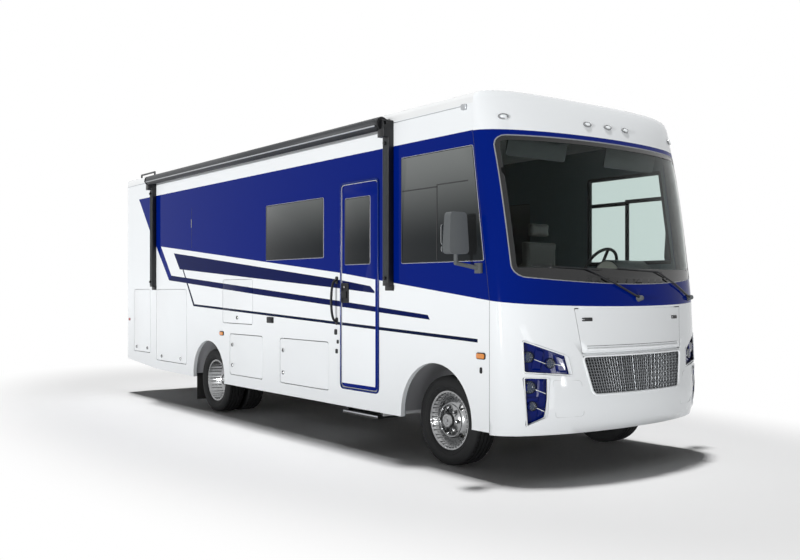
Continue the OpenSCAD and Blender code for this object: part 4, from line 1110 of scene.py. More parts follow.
class MOTORHOME_OT_head_lamps(bpy.types.Operator):
    """Builds the lamps in the four insets of the front"""

    bl_idname = "motorhome.head_lamps"
    bl_label = "Head lamps"

    # (share of the way out, height) of each lamp, its radius and the direction of its light bar
    LAMPS = [(1.086, 1.014, 0.044, (-0.105, -0.045)), (0.922, 0.962, 0.040, (-0.075, -0.016)),
             (1.082, 0.772, 0.048, (-0.088, -0.040)), (1.066, 0.622, 0.038, (-0.070, -0.035))]
    INSETS = [[(1.132, 1.146), (0.785, 1.015), (0.755, 0.862), (1.130, 0.893)],
              [(1.132, 0.853), (0.950, 0.846), (0.966, 0.524), (1.100, 0.458)]]

    def execute(self, context):
        for name, side in SIDES.items():
            for number, (y, z, radius, (run, drop)) in enumerate(self.LAMPS):
                self.lamp(f"{name}_{number}", side * y, z, radius)
                start = (y + run * 0.42, z + drop * 0.42)
                end = (y + run * 1.3, z + drop * 1.3)
                path = [on_cap(side * (start[0] + (end[0] - start[0]) * t),
                               start[1] + (end[1] - start[1]) * t, -0.022) for t in (0, 0.5, 1)]
                finished(tube(path, 0.0032, sides=8), f"light_bar_{name}_{number}", "lens_clear",
                         degrees=60)
            for number, corners in enumerate(self.INSETS):
                outline = rounded([(side * y, z) for y, z in corners], 0.018)
                lip = tube([on_cap(*p, -0.001) for p in outline], 0.006, closed=True, sides=8)
                finished(lip, f"inset_lip_{name}_{number}", "nose_paint", degrees=60)
            self.folds(name, side)
        return {"FINISHED"}

    def lamp(self, name, y, z, radius):
        """A chrome bowl with a ribbed clear lens in a bright ring."""
        r = radius
        bowl = lathed([(r, -0.030), (r * 1.08, -0.004), (r * 1.10, 0.002), (r * 1.04, 0.006), (r, 0.001),
                       (r * 0.8, -0.018), (r * 0.35, -0.028), (0, -0.030)], 40)
        lens = lathed([(0, 0.010), (r * 0.45, 0.008), (r * 0.8, 0.003), (r * 0.97, -0.003),
                       (r * 0.97, -0.008), (0, -0.008)], 40)
        ribs = []
        for k in range(-2, 3):
            reach = math.sqrt((0.85 * r) ** 2 - (k * r / 3) ** 2)
            ends = [Vector((s * reach, k * r / 3, 0.0075 - 0.003 * abs(k))) for s in (-1, 1)]
            for degrees in (0, 60, 120):
                turn = Matrix.Rotation(math.radians(degrees), 3, "Z")
                ribs.append(tube([turn @ end for end in ends], 0.0016, sides=4))
        ribs = joined(ribs)
        for obj, part, finish in ((bowl, "bowl", "chrome"), (lens, "lens", "lens_smoked"),
                                  (ribs, "ribs", "chrome")):
            finished(on_nose(obj, y, z, -0.024), f"lamp_{part}_{name}", finish, degrees=50)

    def folds(self, name, side):
        """Creased blue panels between the lamps."""
        for number, points in enumerate((
                [(1.020, 1.085), (0.955, 1.063), (0.990, 0.905), (1.060, 0.912)],
                [(0.885, 1.035), (0.800, 1.005), (0.775, 0.885), (0.860, 0.892)],
                [(1.015, 0.835), (0.965, 0.832), (0.975, 0.700), (1.030, 0.690)],
                [(1.110, 0.690), (1.010, 0.700), (1.015, 0.655), (1.105, 0.640)],
                [(1.010, 0.600), (0.978, 0.610), (0.985, 0.545), (1.015, 0.530)])):
            base = [on_cap(side * y, z, -0.040) for y, z in points]
            facet = plate(base, (1, 0, 0), 0.006)
            with editing(facet, "FACE"):
                choose(facet, "FACE", lambda face: face.normal.x > 0.7)
                bpy.ops.mesh.inset(thickness=0.014, depth=0.010)
            finished(facet, f"lamp_fold_{name}_{number}", "lamp_blue", degrees=20)


# ------------------------------------------------------------------ wheels
TYRE_R = WHEEL_Z
BEAD_R = 0.248
FRONT_WHEEL_Y = (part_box("tyre_front_left")[0].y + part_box("tyre_front_left")[1].y) / 2
TYRE_HALF_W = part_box("tyre_front_left")[1].y - FRONT_WHEEL_Y
TWIN_YS = (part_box("tyres_rear_left")[0].y + TYRE_HALF_W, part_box("tyres_rear_left")[1].y - TYRE_HALF_W)
WHEEL_BODIES = {("front", "left"): "front_left_wheel", ("front", "right"): "front_right_wheel",
                ("rear", "left"): "rear_left_wheels", ("rear", "right"): "rear_right_wheels"}


class MOTORHOME_OT_tyres(bpy.types.Operator):
    """Turns the tyres with their tread and sidewall rings"""

    bl_idname = "motorhome.tyres"
    bl_label = "Tyres"

    STEPS = 240
    GROOVES = (-0.064, -0.022, 0.022, 0.064)

    def execute(self, context):
        model = self.tyre()
        for name, side in SIDES.items():
            front = on_wheel(copied(model), CAB_AXLE_X, FRONT_WHEEL_Y, side)
            finished(front, f"tread_front_{name}", "tyre_rubber", WHEEL_BODIES["front", name],
                     replaces=[f"tyre_front_{name}"])
            twins = joined([on_wheel(copied(model), REAR_AXLE_X, y, side) for y in TWIN_YS])
            finished(twins, f"treads_rear_{name}", "tyre_rubber", WHEEL_BODIES["rear", name],
                     replaces=[f"tyres_rear_{name}"])
        bpy.data.objects.remove(model)
        return {"FINISHED"}

    def tyre(self):
        """One tyre about +z: grooved crown, notched shoulders, rounded sidewalls."""
        side_wall = [(BEAD_R, 0.084), (0.263, 0.0845), (0.270, 0.098), (0.284, 0.112), (0.294, 0.1165),
                     (0.297, 0.1195), (0.301, 0.1195), (0.304, 0.1175), (0.318, 0.1222), (0.338, 0.1225),
                     (0.356, 0.1195), (0.372, 0.1135), (0.383, 0.1070), (0.391, 0.1005), (0.3945, 0.0940)]
        crown = []
        for z in self.GROOVES:
            top = TYRE_R - 0.003 * (z / 0.09) ** 2
            crown += [(top, z - 0.006), (top - 0.010, z - 0.004), (top - 0.010, z + 0.004),
                      (top, z + 0.006)]
        profile = [(r, -z) for r, z in side_wall] + crown + side_wall[::-1] + [(BEAD_R, -0.084)]
        tyre = lathed(profile, self.STEPS)
        with editing(tyre):
            choose(tyre, "FACE", self.in_notch)
            bpy.ops.mesh.inset(thickness=0.0004, depth=-0.007)
        return tyre

    def in_notch(self, face):
        """True for every fifth face along both shoulders."""
        centre = face.calc_center_median()
        step = round((math.atan2(centre.y, centre.x) / math.tau * self.STEPS) - 0.5)
        return 0.070 < abs(centre.z) < 0.094 and centre.xy.length > 0.39 and step % 5 == 0


class MOTORHOME_OT_rims(bpy.types.Operator):
    """Polishes the rims and adds their lug covers, hub caps and valves"""

    bl_idname = "motorhome.rims"
    bl_label = "Rims"

    def execute(self, context):
        for name, side in SIDES.items():
            body = WHEEL_BODIES["front", name]
            finished(merged_node(f"wheel_front_{name}"), f"rim_front_{name}", "chrome", body, degrees=30,
                     replaces=[f"wheel_front_{name}"])
            trim = self.trim(face=0.070, lug_circle=0.113, hub=(0.0585, 0.118), ring=0.146)
            finished(on_wheel(trim, CAB_AXLE_X, FRONT_WHEEL_Y, side), f"rim_trim_front_{name}", "chrome",
                     body)

            body = WHEEL_BODIES["rear", name]
            finished(merged_node(f"wheels_rear_{name}"), f"rims_rear_{name}", "chrome", body, degrees=30,
                     replaces=[f"wheels_rear_{name}"])
            trim = self.trim(face=0.012, lug_circle=0.118, hub=(0.0765, 0.122), ring=0.152)
            finished(on_wheel(trim, REAR_AXLE_X, sum(TWIN_YS) / 2, side), f"rim_trim_rear_{name}",
                     "chrome", body)
        return {"FINISHED"}

    def trim(self, face, lug_circle, hub, ring):
        """Eight lug covers, a hub cap with a centre stud, a raised ring and a valve."""
        lug = lathed([(0, 0), (0.0185, 0), (0.0185, 0.004), (0.016, 0.007), (0.016, 0.030),
                      (0.012, 0.044), (0.005, 0.049), (0, 0.050)], 16)
        lug.data.transform(Matrix.Translation((lug_circle, 0, face)))
        lugs = around(lug, 8, (0, 0, 0), "Z")
        r, top = hub
        cap_ = lathed([(r, top - 0.040), (r + 0.004, top - 0.036), (r + 0.004, top - 0.008),
                       (r - 0.002, top), (r * 0.62, top + 0.003), (r * 0.58, top), (r * 0.24, top),
                       (r * 0.22, top + 0.006), (0, top + 0.007), (0, top - 0.040)], 48)
        band = lathed([(ring - 0.006, face - 0.001), (ring - 0.004, face + 0.006),
                       (ring + 0.001, face + 0.007), (ring + 0.004, face - 0.004)], 72)
        valve = tube([(0.205, 0.02, 0.02), (0.212, 0.02, 0.055), (0.222, 0.02, 0.075)], 0.0045, sides=8)
        return joined([lugs, cap_, band, valve])


# ------------------------------------------------------------------ sides
CAB_PANE = [(2.659, 1.810), (seam_at(1.810) - 0.034, 1.810), (seam_at(2.739) - 0.034, 2.739),
            (2.659, 2.739)]
GALLEY_PANE = [(0.122, 1.900), (1.304, 1.900), (1.304, 2.485), (0.122, 2.485)]
DINETTE_PANE = [(0.400, 1.850), (1.800, 1.850), (1.800, 2.547), (0.400, 2.547)]
BEDROOM_PANE = [(-3.490, 1.950), (-2.590, 1.950), (-2.590, 2.507), (-3.490, 2.507)]
DOOR_PANE = [(1.732, 1.817), (2.132, 1.817), (2.132, 2.440), (1.732, 2.440)]


def grown(corners, out):
    """Four corners, anticlockwise from the lower rear one, moved outwards."""
    signs = ((-1, -1), (1, -1), (1, 1), (-1, 1))
    return [(x + out * sx, z + out * sz) for (x, z), (sx, sz) in zip(corners, signs)]


class MOTORHOME_OT_side_glass(bpy.types.Operator):
    """Fits the side windows with their seals and dividers"""

    bl_idname = "motorhome.side_glass"
    bl_label = "Side glass"

    def execute(self, context):
        panes = [("cab_right", CAB_PANE, RIGHT, "privacy_glass", "coach", ["side_windows"]),
                 ("galley", GALLEY_PANE, RIGHT, "privacy_glass", "coach", []),
                 ("door", DOOR_PANE, RIGHT, "privacy_glass", "entry_door", ["entry_door_window"]),
                 ("cab_left", CAB_PANE, LEFT, "cab_glass", "coach", []),
                 ("dinette", DINETTE_PANE, LEFT, "privacy_glass", "coach", []),
                 ("bedroom", BEDROOM_PANE, LEFT, "privacy_glass", "coach", [])]
        for name, corners, side, finish, body, replaced in panes:
            outline = rounded(grown(corners, 0.008), 0.014)
            pane = side_plate(outline, side, 0.004, 0.0012, start=0.0005)
            finished(pane, f"pane_{name}", finish, body, replaces=replaced)
            seal = rounded(grown(corners, 0.011), 0.016)
            finished(tube(on_side(seal, side, 0.002), 0.0045, closed=True, sides=8), f"pane_seal_{name}",
                     "black_rubber", body, degrees=60)
            edge = rounded(grown(corners, 0.017), 0.02)
            finished(tube(on_side(edge, side, 0.0005), 0.0022, closed=True, sides=6), f"pane_edge_{name}",
                     "pale_seal_and_painted_light", body, degrees=60)
        for name, side, width in (("right", RIGHT, 0.010), ("left", LEFT, 0.040)):
            bars = [self.bar_(2.664, 3.160, 2.449, 2.449, width, side),
                    self.bar_(3.160, 3.560, 2.466, 2.466, width, side),
                    self.bar_(3.158, 3.158, 1.818, 2.456, width, side)]
            finished(joined(bars), f"cab_dividers_{name}", "black_rubber")
        frame_ = rounded(grown(CAB_PANE, -0.012), 0.02)
        inside = [(x, y - 0.03, z) for x, y, z in on_side(frame_, LEFT)]
        finished(tube(inside, 0.026, closed=True, sides=8), "cab_window_inner_frame_left",
                 "moulded_black", degrees=60)
        return {"FINISHED"}

    def bar_(self, x0, x1, z0, z1, width, side):
        """A divider strip that lies over a pane."""
        outline = [(x0 - width / 2, z0 - width / 2), (x1 + width / 2, z0 - width / 2),
                   (x1 + width / 2, z1 + width / 2), (x0 - width / 2, z1 + width / 2)]
        depth = 0.004 if side == RIGHT else 0.02
        start = 0.0035 if side == RIGHT else -0.018
        return side_plate(outline, side, depth, 0.0015, start=start)


class MOTORHOME_OT_doors(bpy.types.Operator):
    """Adds the doors' rims, latches, handle and small outlets"""

    bl_idname = "motorhome.doors"
    bl_label = "Doors and latches"

    def execute(self, context):
        low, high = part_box("entry_door")
        outline = rounded(grown([(low.x, low.z), (high.x, low.z), (high.x, high.z), (low.x, high.z)],
                                -0.014), 0.05)
        rim = tube(on_side(outline, RIGHT, 0.004), 0.010, closed=True, sides=10)
        finished(rim, "entry_door_rim", "trim_blue", "entry_door", degrees=60)
        # A pale bead just inside the rim: a painted highlight standing for the glint along the rim's edge
        painted_glint = tube(on_side(rounded(grown([(low.x, low.z), (high.x, low.z), (high.x, high.z),
                                            (low.x, high.z)], -0.028), 0.04), RIGHT, 0.002),
                     0.0028, closed=True, sides=8)
        finished(painted_glint, "entry_door_painted_glint", "pale_seal_and_painted_light", "entry_door", degrees=60)

        lock = side_plate(rectangle(1.722, 1.521, 0.132, 0.198, 0.02), RIGHT, 0.010, 0.003)
        with editing(lock):
            choose(lock, "FACE", lambda face: face.normal.y < -0.9)
            bpy.ops.mesh.inset(thickness=0.016, depth=-0.006)
        finished(lock, "entry_door_lock", "moulded_black", "entry_door")
        paddle = side_plate(rectangle(1.715, 1.505, 0.085, 0.07, 0.015), RIGHT, 0.012, 0.004, start=0.005)
        finished(paddle, "entry_door_paddle", "moulded_black", "entry_door")
        key = turned_on_side([(0, 0.018), (0.010, 0.018), (0.012, 0.015), (0.012, 0.004), (0, 0.004)],
                             1.722, 1.580, RIGHT)
        finished(key, "entry_door_key", "chrome", "entry_door")
        low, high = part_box("grab_handle")
        x, z = (low.x + high.x) / 2, (low.z + high.z) / 2
        reach, half = high.y - low.y - 0.014, (high.z - low.z) / 2 - 0.014
        bow = [(x, high.y - reach * math.cos(a) ** 0.6, z + half * math.sin(a))
               for a in [math.radians(d) for d in range(-88, 89, 11)]]
        finished(tube(bow, 0.0125, sides=14), "handle_bar", "moulded_black", degrees=60,
                 replaces=["grab_handle"])
        feet = [side_plate(rectangle(1.570, z, 0.05, 0.075, 0.02), RIGHT, 0.008,
                           0.003) for z in (1.236, 1.650)]
        finished(joined(feet), "handle_feet", "moulded_black")

        for number, (x, z, size) in enumerate(((1.554, 1.127, 0.045), (1.591, 1.030, 0.030),
                                               (1.571, 0.934, 0.036))):
            plate_ = side_plate(rectangle(x, z, size, size * 1.25, size * 0.3), RIGHT, 0.010, 0.003)
            finished(plate_, f"door_switch_{number}", "moulded_black")
        self.latches()
        self.markers()
        return {"FINISHED"}

    def latches(self):
        """Round key latches on the hatches and bay doors, with bright centres."""
        tail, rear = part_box("tail_hatch"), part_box("rear_hatch")
        places = [("access_hatch", -0.607, 1.215, RIGHT), ("bay_door_rear", -0.735, 0.886, RIGHT),
                  ("bay_door_rear", -0.735, 0.640, RIGHT), ("bay_door_front", 0.490, 0.886, RIGHT),
                  ("bay_door_front", 0.490, 0.640, RIGHT), ("left_bay_door_rear", -0.735, 0.770, LEFT),
                  ("left_bay_door_front", 0.490, 0.770, LEFT)]
        for name, (low, high) in (("tail_hatch", tail), ("rear_hatch", rear)):
            inset_ = (high.x - low.x) * 0.2
            places += [(name, low.x + inset_, low.z + 0.06, RIGHT),
                       (name, high.x - inset_, low.z + 0.06, RIGHT)]
        for number, (body, x, z, side) in enumerate(places):
            cup = turned_on_side([(0, 0.003), (0.012, 0.003), (0.014, 0.008), (0.020, 0.009),
                                  (0.024, 0.006), (0.025, 0.0), (0, 0.0)], x, z, side)
            finished(cup, f"latch_{number}", "chrome", body)
            bolt = turned_on_side([(0, 0.008), (0.007, 0.008), (0.009, 0.006), (0.009, 0.002),
                                   (0, 0.002)], x, z, side, 12)
            finished(bolt, f"latch_key_{number}", "moulded_black", body)

    def markers(self):
        """Amber side markers, the dark oval sensor, outlet, rear side lamp and fine seams."""
        for name, side in SIDES.items():
            for number, x in enumerate((-1.018, 3.720)):
                base = side_plate(rectangle(x, 1.012, 0.112, 0.056, 0.022), side, 0.008, 0.003)
                finished(base, f"marker_base_{name}_{number}", "moulded_black")
                lens = side_plate(rectangle(x, 1.012, 0.096, 0.042, 0.018), side, 0.012, 0.005,
                                  start=0.004)
                finished(lens, f"marker_lens_{name}_{number}", "lens_amber")
            sensor = side_plate(rectangle(3.720, 0.894, 0.030, 0.052, 0.0145), side, 0.006, 0.0025)
            finished(sensor, f"side_sensor_{name}", "moulded_black")
            lamp = side_plate(rectangle(-4.120, 1.104, 0.060, 0.040, 0.015), side, 0.010, 0.004)
            finished(lamp, f"rear_side_lamp_{name}", "lens_red")
            roof_edge = side_plate([(REAR_X + 0.06, GUTTER_Z - 0.016),
                                    (ROOF_END_X - 0.12, GUTTER_Z - 0.016),
                                    (ROOF_END_X - 0.12, GUTTER_Z - 0.008),
                                    (REAR_X + 0.06, GUTTER_Z - 0.008)], side, 0.006, 0.002)
            finished(roof_edge, f"gutter_{name}", "bare_aluminium")
            spout = side_plate(rectangle(ROOF_END_X - 0.10, GUTTER_Z - 0.024, 0.06, 0.05, 0.015), side,
                               0.022, 0.005)
            finished(spout, f"gutter_spout_{name}", "bare_aluminium")
        outlet = side_plate(rectangle(0.205, 1.210, 0.145, 0.068, 0.012), RIGHT, 0.012, 0.004)
        finished(outlet, "side_outlet", "moulded_black")
        lid = side_plate(rectangle(0.205, 1.206, 0.110, 0.040, 0.008), RIGHT, 0.006, 0.002, start=0.011)
        finished(lid, "side_outlet_lid", "moulded_black")
        seam = tube(on_side([(-1.905, 2.10), (-1.905, 2.62)], RIGHT, 0.0002), 0.0018, sides=6)
        finished(seam, "wall_seam", "seam_shadow")
        catch = side_plate(rectangle(-1.905, 2.42, 0.014, 0.11, 0.005), RIGHT, 0.006, 0.002)
        finished(catch, "wall_catch", "chrome")


class MOTORHOME_OT_step(bpy.types.Operator):
    """Adds the ribs of the entry step's tread"""

    bl_idname = "motorhome.step"
    bl_label = "Entry step"

    def execute(self, context):
        low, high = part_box("entry_step")
        ribs = []
        for k in range(9):
            y = low.y + 0.03 + k * 0.024
            rib = block((low.x + 0.03, y, low.z + 0.024), (high.x - 0.03, y + 0.009, low.z + 0.0305))
            ribs.append(bevelled(rib, 0.002))
        finished(joined(ribs), "step_ribs", "black_rubber", "entry_step")
        nose = bar((low.x + 0.004, low.y + 0.004, low.z + 0.022),
                   (high.x - 0.004, low.y + 0.004, low.z + 0.022), 0.0085)
        finished(bevelled(nose, 0.002), "step_nose", "bare_aluminium", "entry_step", degrees=60)
        return {"FINISHED"}


# ------------------------------------------------------------------ outside fittings
class MOTORHOME_OT_awning(bpy.types.Operator):
    """Dresses the rolled awning and its two arms"""

    bl_idname = "motorhome.awning"
    bl_label = "Awning"

    def execute(self, context):
        low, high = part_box("awning_roller")
        y, z = (low.y + high.y) / 2, (low.z + high.z) / 2
        radius = (high.z - low.z) / 2
        finished(merged_node("awning_roller"), "awning_roll", "awning_cloth", degrees=60,
                 replaces=["awning_roller"])
        arms = bevelled(merged_node("awning_arms"), 0.006, 2, 60)
        finished(arms, "awning_frame", "powder_black", degrees=40, replaces=["awning_arms"])
        # The hem's aluminium rail along the roll, and a black cover strip on top
        for name, angle, finish in (("lead_rail", 205, "bare_aluminium"),
                                    ("cover_strip", 60, "powder_black")):
            a = math.radians(angle)
            at = (y + math.cos(a) * (radius - 0.002), z + math.sin(a) * (radius - 0.002))
            rail = block((low.x + 0.07, at[0] - 0.007, at[1] - 0.007),
                         (high.x - 0.07, at[0] + 0.007, at[1] + 0.007))
            finished(bevelled(rail, 0.004), f"awning_{name}", finish)
        arm_low, arm_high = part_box("awning_arms")
        width = 0.092
        for number, x in enumerate((arm_low.x + width / 2, arm_high.x - width / 2)):
            # Ribs down each arm in a lighter charcoal than the black arm: real ribs, their lighter colour
            # a painted highlight along the channel's grooves
            strips = []
            for off in (-0.030, -0.010, 0.010, 0.030):
                strip = block((x + off - 0.0025, WALL_Y - 0.0665, arm_low.z + 0.03),
                              (x + off + 0.0025, WALL_Y - 0.0605, GUTTER_Z - 0.16))
                strips.append(bevelled(strip, 0.0012))
            finished(joined(strips), f"awning_arm_highlight_strips_{number}", "mirror_plastic")
            knuckle = lathed([(0, 0.028), (0.014, 0.028), (0.018, 0.022), (0.018, 0.0), (0, 0.0)], 24)
            for height in (arm_low.z + 0.07, GUTTER_Z - 0.20):
                pin = copied(knuckle)
                placed(pin, (x, WALL_Y - 0.058, height), 90, "X")
                finished(pin, f"awning_pin_{number}_{'low' if height < 2 else 'high'}", "powder_black")
            bpy.data.objects.remove(knuckle)
            foot = block((x - 0.055, WALL_Y - 0.030, arm_low.z - 0.045),
                         (x + 0.055, WALL_Y - 0.0005, arm_low.z + 0.01))
            finished(bevelled(foot, 0.006), f"awning_foot_{number}", "powder_black")
            cap_x = low.x - 0.004 if x < 0 else high.x - 0.012
            cap_ = lathed([(0, 0.0), (radius * 0.96, 0.0), (radius * 0.99, 0.004), (radius * 0.99, 0.012),
                           (radius * 0.96, 0.016), (0, 0.016)], 40)
            placed(cap_, (cap_x + 0.03 * (1 if x < 0 else -1), y, z), 90, "Y")
            finished(cap_, f"awning_end_cap_{number}", "moulded_black")
        return {"FINISHED"}


class MOTORHOME_OT_mirrors(bpy.types.Operator):
    """Rounds the mirror shells and fits their glass"""

    bl_idname = "motorhome.mirrors"
    bl_label = "Mirrors"

    def execute(self, context):
        shells = merged_node("mirrors")
        with editing(shells, "VERT"):
            # The shells narrow towards their tops, as the moulded ones do
            for side in (LEFT, RIGHT):
                heads = [v.co for v in shells.data.vertices if v.co.z > 1.9]
                count = choose(shells, "VERT", lambda v: v.co.z > 2.10 and v.co.y * side > 0)
                if not count:
                    raise RuntimeError("no mirror shell found")
                middle = sum((c for c in heads if c.y * side > 0), Vector()) / max(
                    1, len([c for c in heads if c.y * side > 0]))
                bpy.ops.transform.resize(value=(0.86, 0.86, 1),
                                         center_override=(middle.x, middle.y, 2.10))
        bevelled(shells, 0.016, 4, 50)
        finished(shells, "mirror_shells", "mirror_plastic", degrees=50, replaces=["mirrors"])
        heads = {"left": LEFT, "right": RIGHT}
        low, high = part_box("mirrors")
        for name, side in heads.items():
            y = (high.y if side > 0 else low.y) - side * 0.105
            x = low.x
            glass = plate([(x + 0.002, y + p[0],
                            2.005 + p[1]) for p in rectangle(0, 0, 0.155, 0.175, 0.03)], (-1, 0, 0),
                          0.004, 0.001)
            spot = plate([(x + 0.002, y + p[0],
                           1.888 + p[1]) for p in rectangle(0, 0, 0.150, 0.048, 0.02)], (-1, 0, 0), 0.004,
                         0.001)
            finished(joined([glass, spot]), f"mirror_glass_{name}", "silvered_glass")
        return {"FINISHED"}


class MOTORHOME_OT_wipers(bpy.types.Operator):
    """Smooths the wiper arms and adds their blades and caps"""

    bl_idname = "motorhome.wipers"
    bl_label = "Wipers"

    # Share of the half width, and the height, of each blade's tip and heel
    BLADES = [((-0.811, 1.752), (-0.312, 1.722)), ((-0.16, 1.736), (0.312, 1.706))]
    PIVOTS = [(0.034, 1.482), (0.939, 1.481)]

    def execute(self, context):
        finished(merged_node("wipers"), "wiper_arms", "moulded_black", degrees=60, replaces=["wipers"])
        half = abs(WALL_Y)
        for number, (tip, heel) in enumerate(self.BLADES):
            line = [on_cap(half * (heel[0] + (tip[0] - heel[0]) * t), heel[1] + (tip[1] - heel[1]) * t,
                           0.003) for t in [k / 12 for k in range(13)]]
            blade = tube(line, 0.0045, sides=6)
            finished(blade, f"wiper_blade_{number}", "black_rubber")
            y, z = self.PIVOTS[number]
            cap_ = lathed([(0, 0.052), (0.012, 0.052), (0.020, 0.044), (0.024, 0.020), (0.030, 0.004),
                           (0.030, 0), (0, 0)], 24)
            finished(on_nose(cap_, y, z), f"wiper_cap_{number}", "mirror_plastic", degrees=50)
        return {"FINISHED"}


class MOTORHOME_OT_roof_fittings(bpy.types.Operator):
    """Dresses the roof: cooler shrouds with louvres and vent lids"""

    bl_idname = "motorhome.roof_fittings"
    bl_label = "Roof fittings"

    def execute(self, context):
        units = merged_node("roof_units")
        bevelled(units, 0.035, 4, 50)
        finished(units, "roof_shrouds", "white_plastic", degrees=40, replaces=["roof_units"])
        for number, x in enumerate((-1.930, 2.200)):
            slats = []
            for end in (-1, 1):
                for k in range(7):
                    z = ROOF_Z + 0.045 + 0.020 * k
                    slat = block((x + end * 0.497 - 0.012, -0.20, z),
                                 (x + end * 0.497 + 0.012, 0.20, z + 0.008))
                    slats.append(bevelled(slat, 0.002))
            finished(joined(slats), f"cooler_louvres_{number}", "moulded_black")
        for number, x in enumerate((-2.980, -0.530)):
            lid = block((x - 0.20, 0.10, ROOF_Z + 0.085), (x + 0.20, 0.50, ROOF_Z + 0.105))
            with editing(lid):
                choose(lid, "FACE", lambda face: face.normal.z > 0.9)
                bpy.ops.mesh.inset(thickness=0.06, depth=0.02)
            finished(bevelled(lid, 0.010, 3), f"vent_lid_{number}", "dark_lid", degrees=40)
        return {"FINISHED"}


class MOTORHOME_OT_rear_fittings(bpy.types.Operator):
    """Adds the rear wall's lamps, camera, plate, seams and the ladder's treads"""

    bl_idname = "motorhome.rear_fittings"
    bl_label = "Rear fittings"

    def execute(self, context):
        self.lamps()
        finished(merged_node("ladder"), "ladder_tubes", "powder_black", degrees=60, replaces=["ladder"])
        low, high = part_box("ladder")
        y = (low.y + high.y) / 2
        treads = []
        for k in range(7):
            z = 1.130 + 0.300 * k
            tread = block((low.x, y - 0.145, z + 0.002), (low.x + 0.034, y + 0.145, z + 0.0155))
            with editing(tread):
                bpy.ops.mesh.subdivide(number_cuts=4)
                choose(tread, "FACE", lambda face: face.normal.z > 0.9)
                bpy.ops.mesh.inset(thickness=0.002, depth=0.0012, use_individual=True)
            treads.append(bevelled(tread, 0.0015, 1))
        finished(joined(treads), "ladder_treads", "black_rubber")
        camera = block((REAR_X - 0.045, -0.05, 2.93), (REAR_X, 0.05, 2.99))
        finished(bevelled(camera, 0.012, 3), "rear_camera", "moulded_black")
        eye = lathed([(0, 0.008), (0.014, 0.006), (0.018, 0.0), (0, 0.0)], 24)
        placed(eye, (REAR_X - 0.044, 0, 2.955), -90, "Y")
        finished(eye, "rear_camera_eye", "glazed_black")
        plate_ = self.on_rear(rectangle(0.55, 1.02, 0.305, 0.152, 0.012), 0.003, 0.001, 0.006)
        finished(plate_, "blank_plate", "pale_seal_and_painted_light")
        holder = self.on_rear(rectangle(0.55, 1.02, 0.330, 0.176, 0.016), 0.006, 0.002)
        finished(holder, "plate_holder", "moulded_black")
        for number, z in enumerate((0.66, 1.60)):
            seam = tube([(REAR_X - 0.0005, y, z) for y in (-1.27, 0, 1.27)], 0.003, sides=6)
            finished(seam, f"rear_seam_{number}", "seam_shadow")
        return {"FINISHED"}

    def on_rear(self, points, depth, edge=0.0, start=0.0):
        """A plate on the rear wall over an outline of (y, z) points."""
        return plate([(REAR_X - start, p[0], p[1]) for p in points], (-1, 0, 0), depth, edge)

    def lamps(self):
        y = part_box("tail_lamps")[1].y - 0.010 - 0.0475
        for name, side in SIDES.items():
            housing = self.on_rear(rectangle(side * y, 1.300, 0.118, 0.384, 0.03), 0.012, 0.004)
            finished(housing, f"tail_lamp_bezel_{name}", "chrome",
                     replaces=["tail_lamps"] if side == LEFT else [])
            for number, (z, height, finish) in enumerate((
                    (1.410, 0.130, "lens_red"), (1.295, 0.080, "lens_amber"),
                    (1.185, 0.110, "lens_red"))):
                lens = self.on_rear(rectangle(side * y, z, 0.092, height, 0.02), 0.014, 0.006, 0.011)
                finished(lens, f"tail_lens_{name}_{number}", finish)
            top = self.on_rear(rectangle(side * (y - 0.008), 2.925, 0.100, 0.046, 0.02), 0.018, 0.006)
            finished(top, f"rear_marker_{name}", "lens_red")
        for number in (-1, 0, 1):
            top = self.on_rear(rectangle(number * 0.16, 3.06, 0.085, 0.036, 0.015), 0.014, 0.005)
            finished(top, f"rear_centre_marker_{number + 1}", "lens_red")


class MOTORHOME_OT_driver_side(bpy.types.Operator):
    """Adds the vents and lids of the driver's side"""

    bl_idname = "motorhome.driver_side"
    bl_label = "Driver's side"

    def execute(self, context):
        for number, (x, z, width, height) in enumerate(((-1.75, 1.42, 0.56, 0.34),
                                                        (2.25, 1.30, 0.36, 0.36))):
            frame_ = side_plate(rectangle(x, z, width, height, 0.02), LEFT, 0.008, 0.003)
            finished(frame_, f"vent_frame_{number}", "white_plastic")
            slats = []
            for k in range(9):
                at = z - height * 0.36 + k * height * 0.09
                slat = side_plate(rectangle(x, at, width * 0.84, height * 0.045, 0.004, 2), LEFT, 0.008,
                                  0.002, start=0.008)
                slats.append(slat)
            finished(joined(slats), f"vent_slats_{number}", "moulded_black")
        for number, (x, z, size) in enumerate(((-3.30, 0.95, 0.17), (-2.30, 0.95, 0.20),
                                               (-3.80, 1.15, 0.14))):
            lid = side_plate(rectangle(x, z, size, size, 0.025), LEFT, 0.012, 0.004)
            with editing(lid):
                choose(lid, "FACE", lambda face: face.normal.y > 0.9)
                bpy.ops.mesh.inset(thickness=0.014, depth=-0.004)
            finished(lid, f"service_lid_{number}", "white_plastic")
            catch = turned_on_side([(0, 0.016), (0.008, 0.016), (0.010, 0.013), (0.010, 0.006),
                                    (0, 0.006)], x, z - size * 0.3, LEFT, 16)
            finished(catch, f"service_catch_{number}", "chrome")
        return {"FINISHED"}


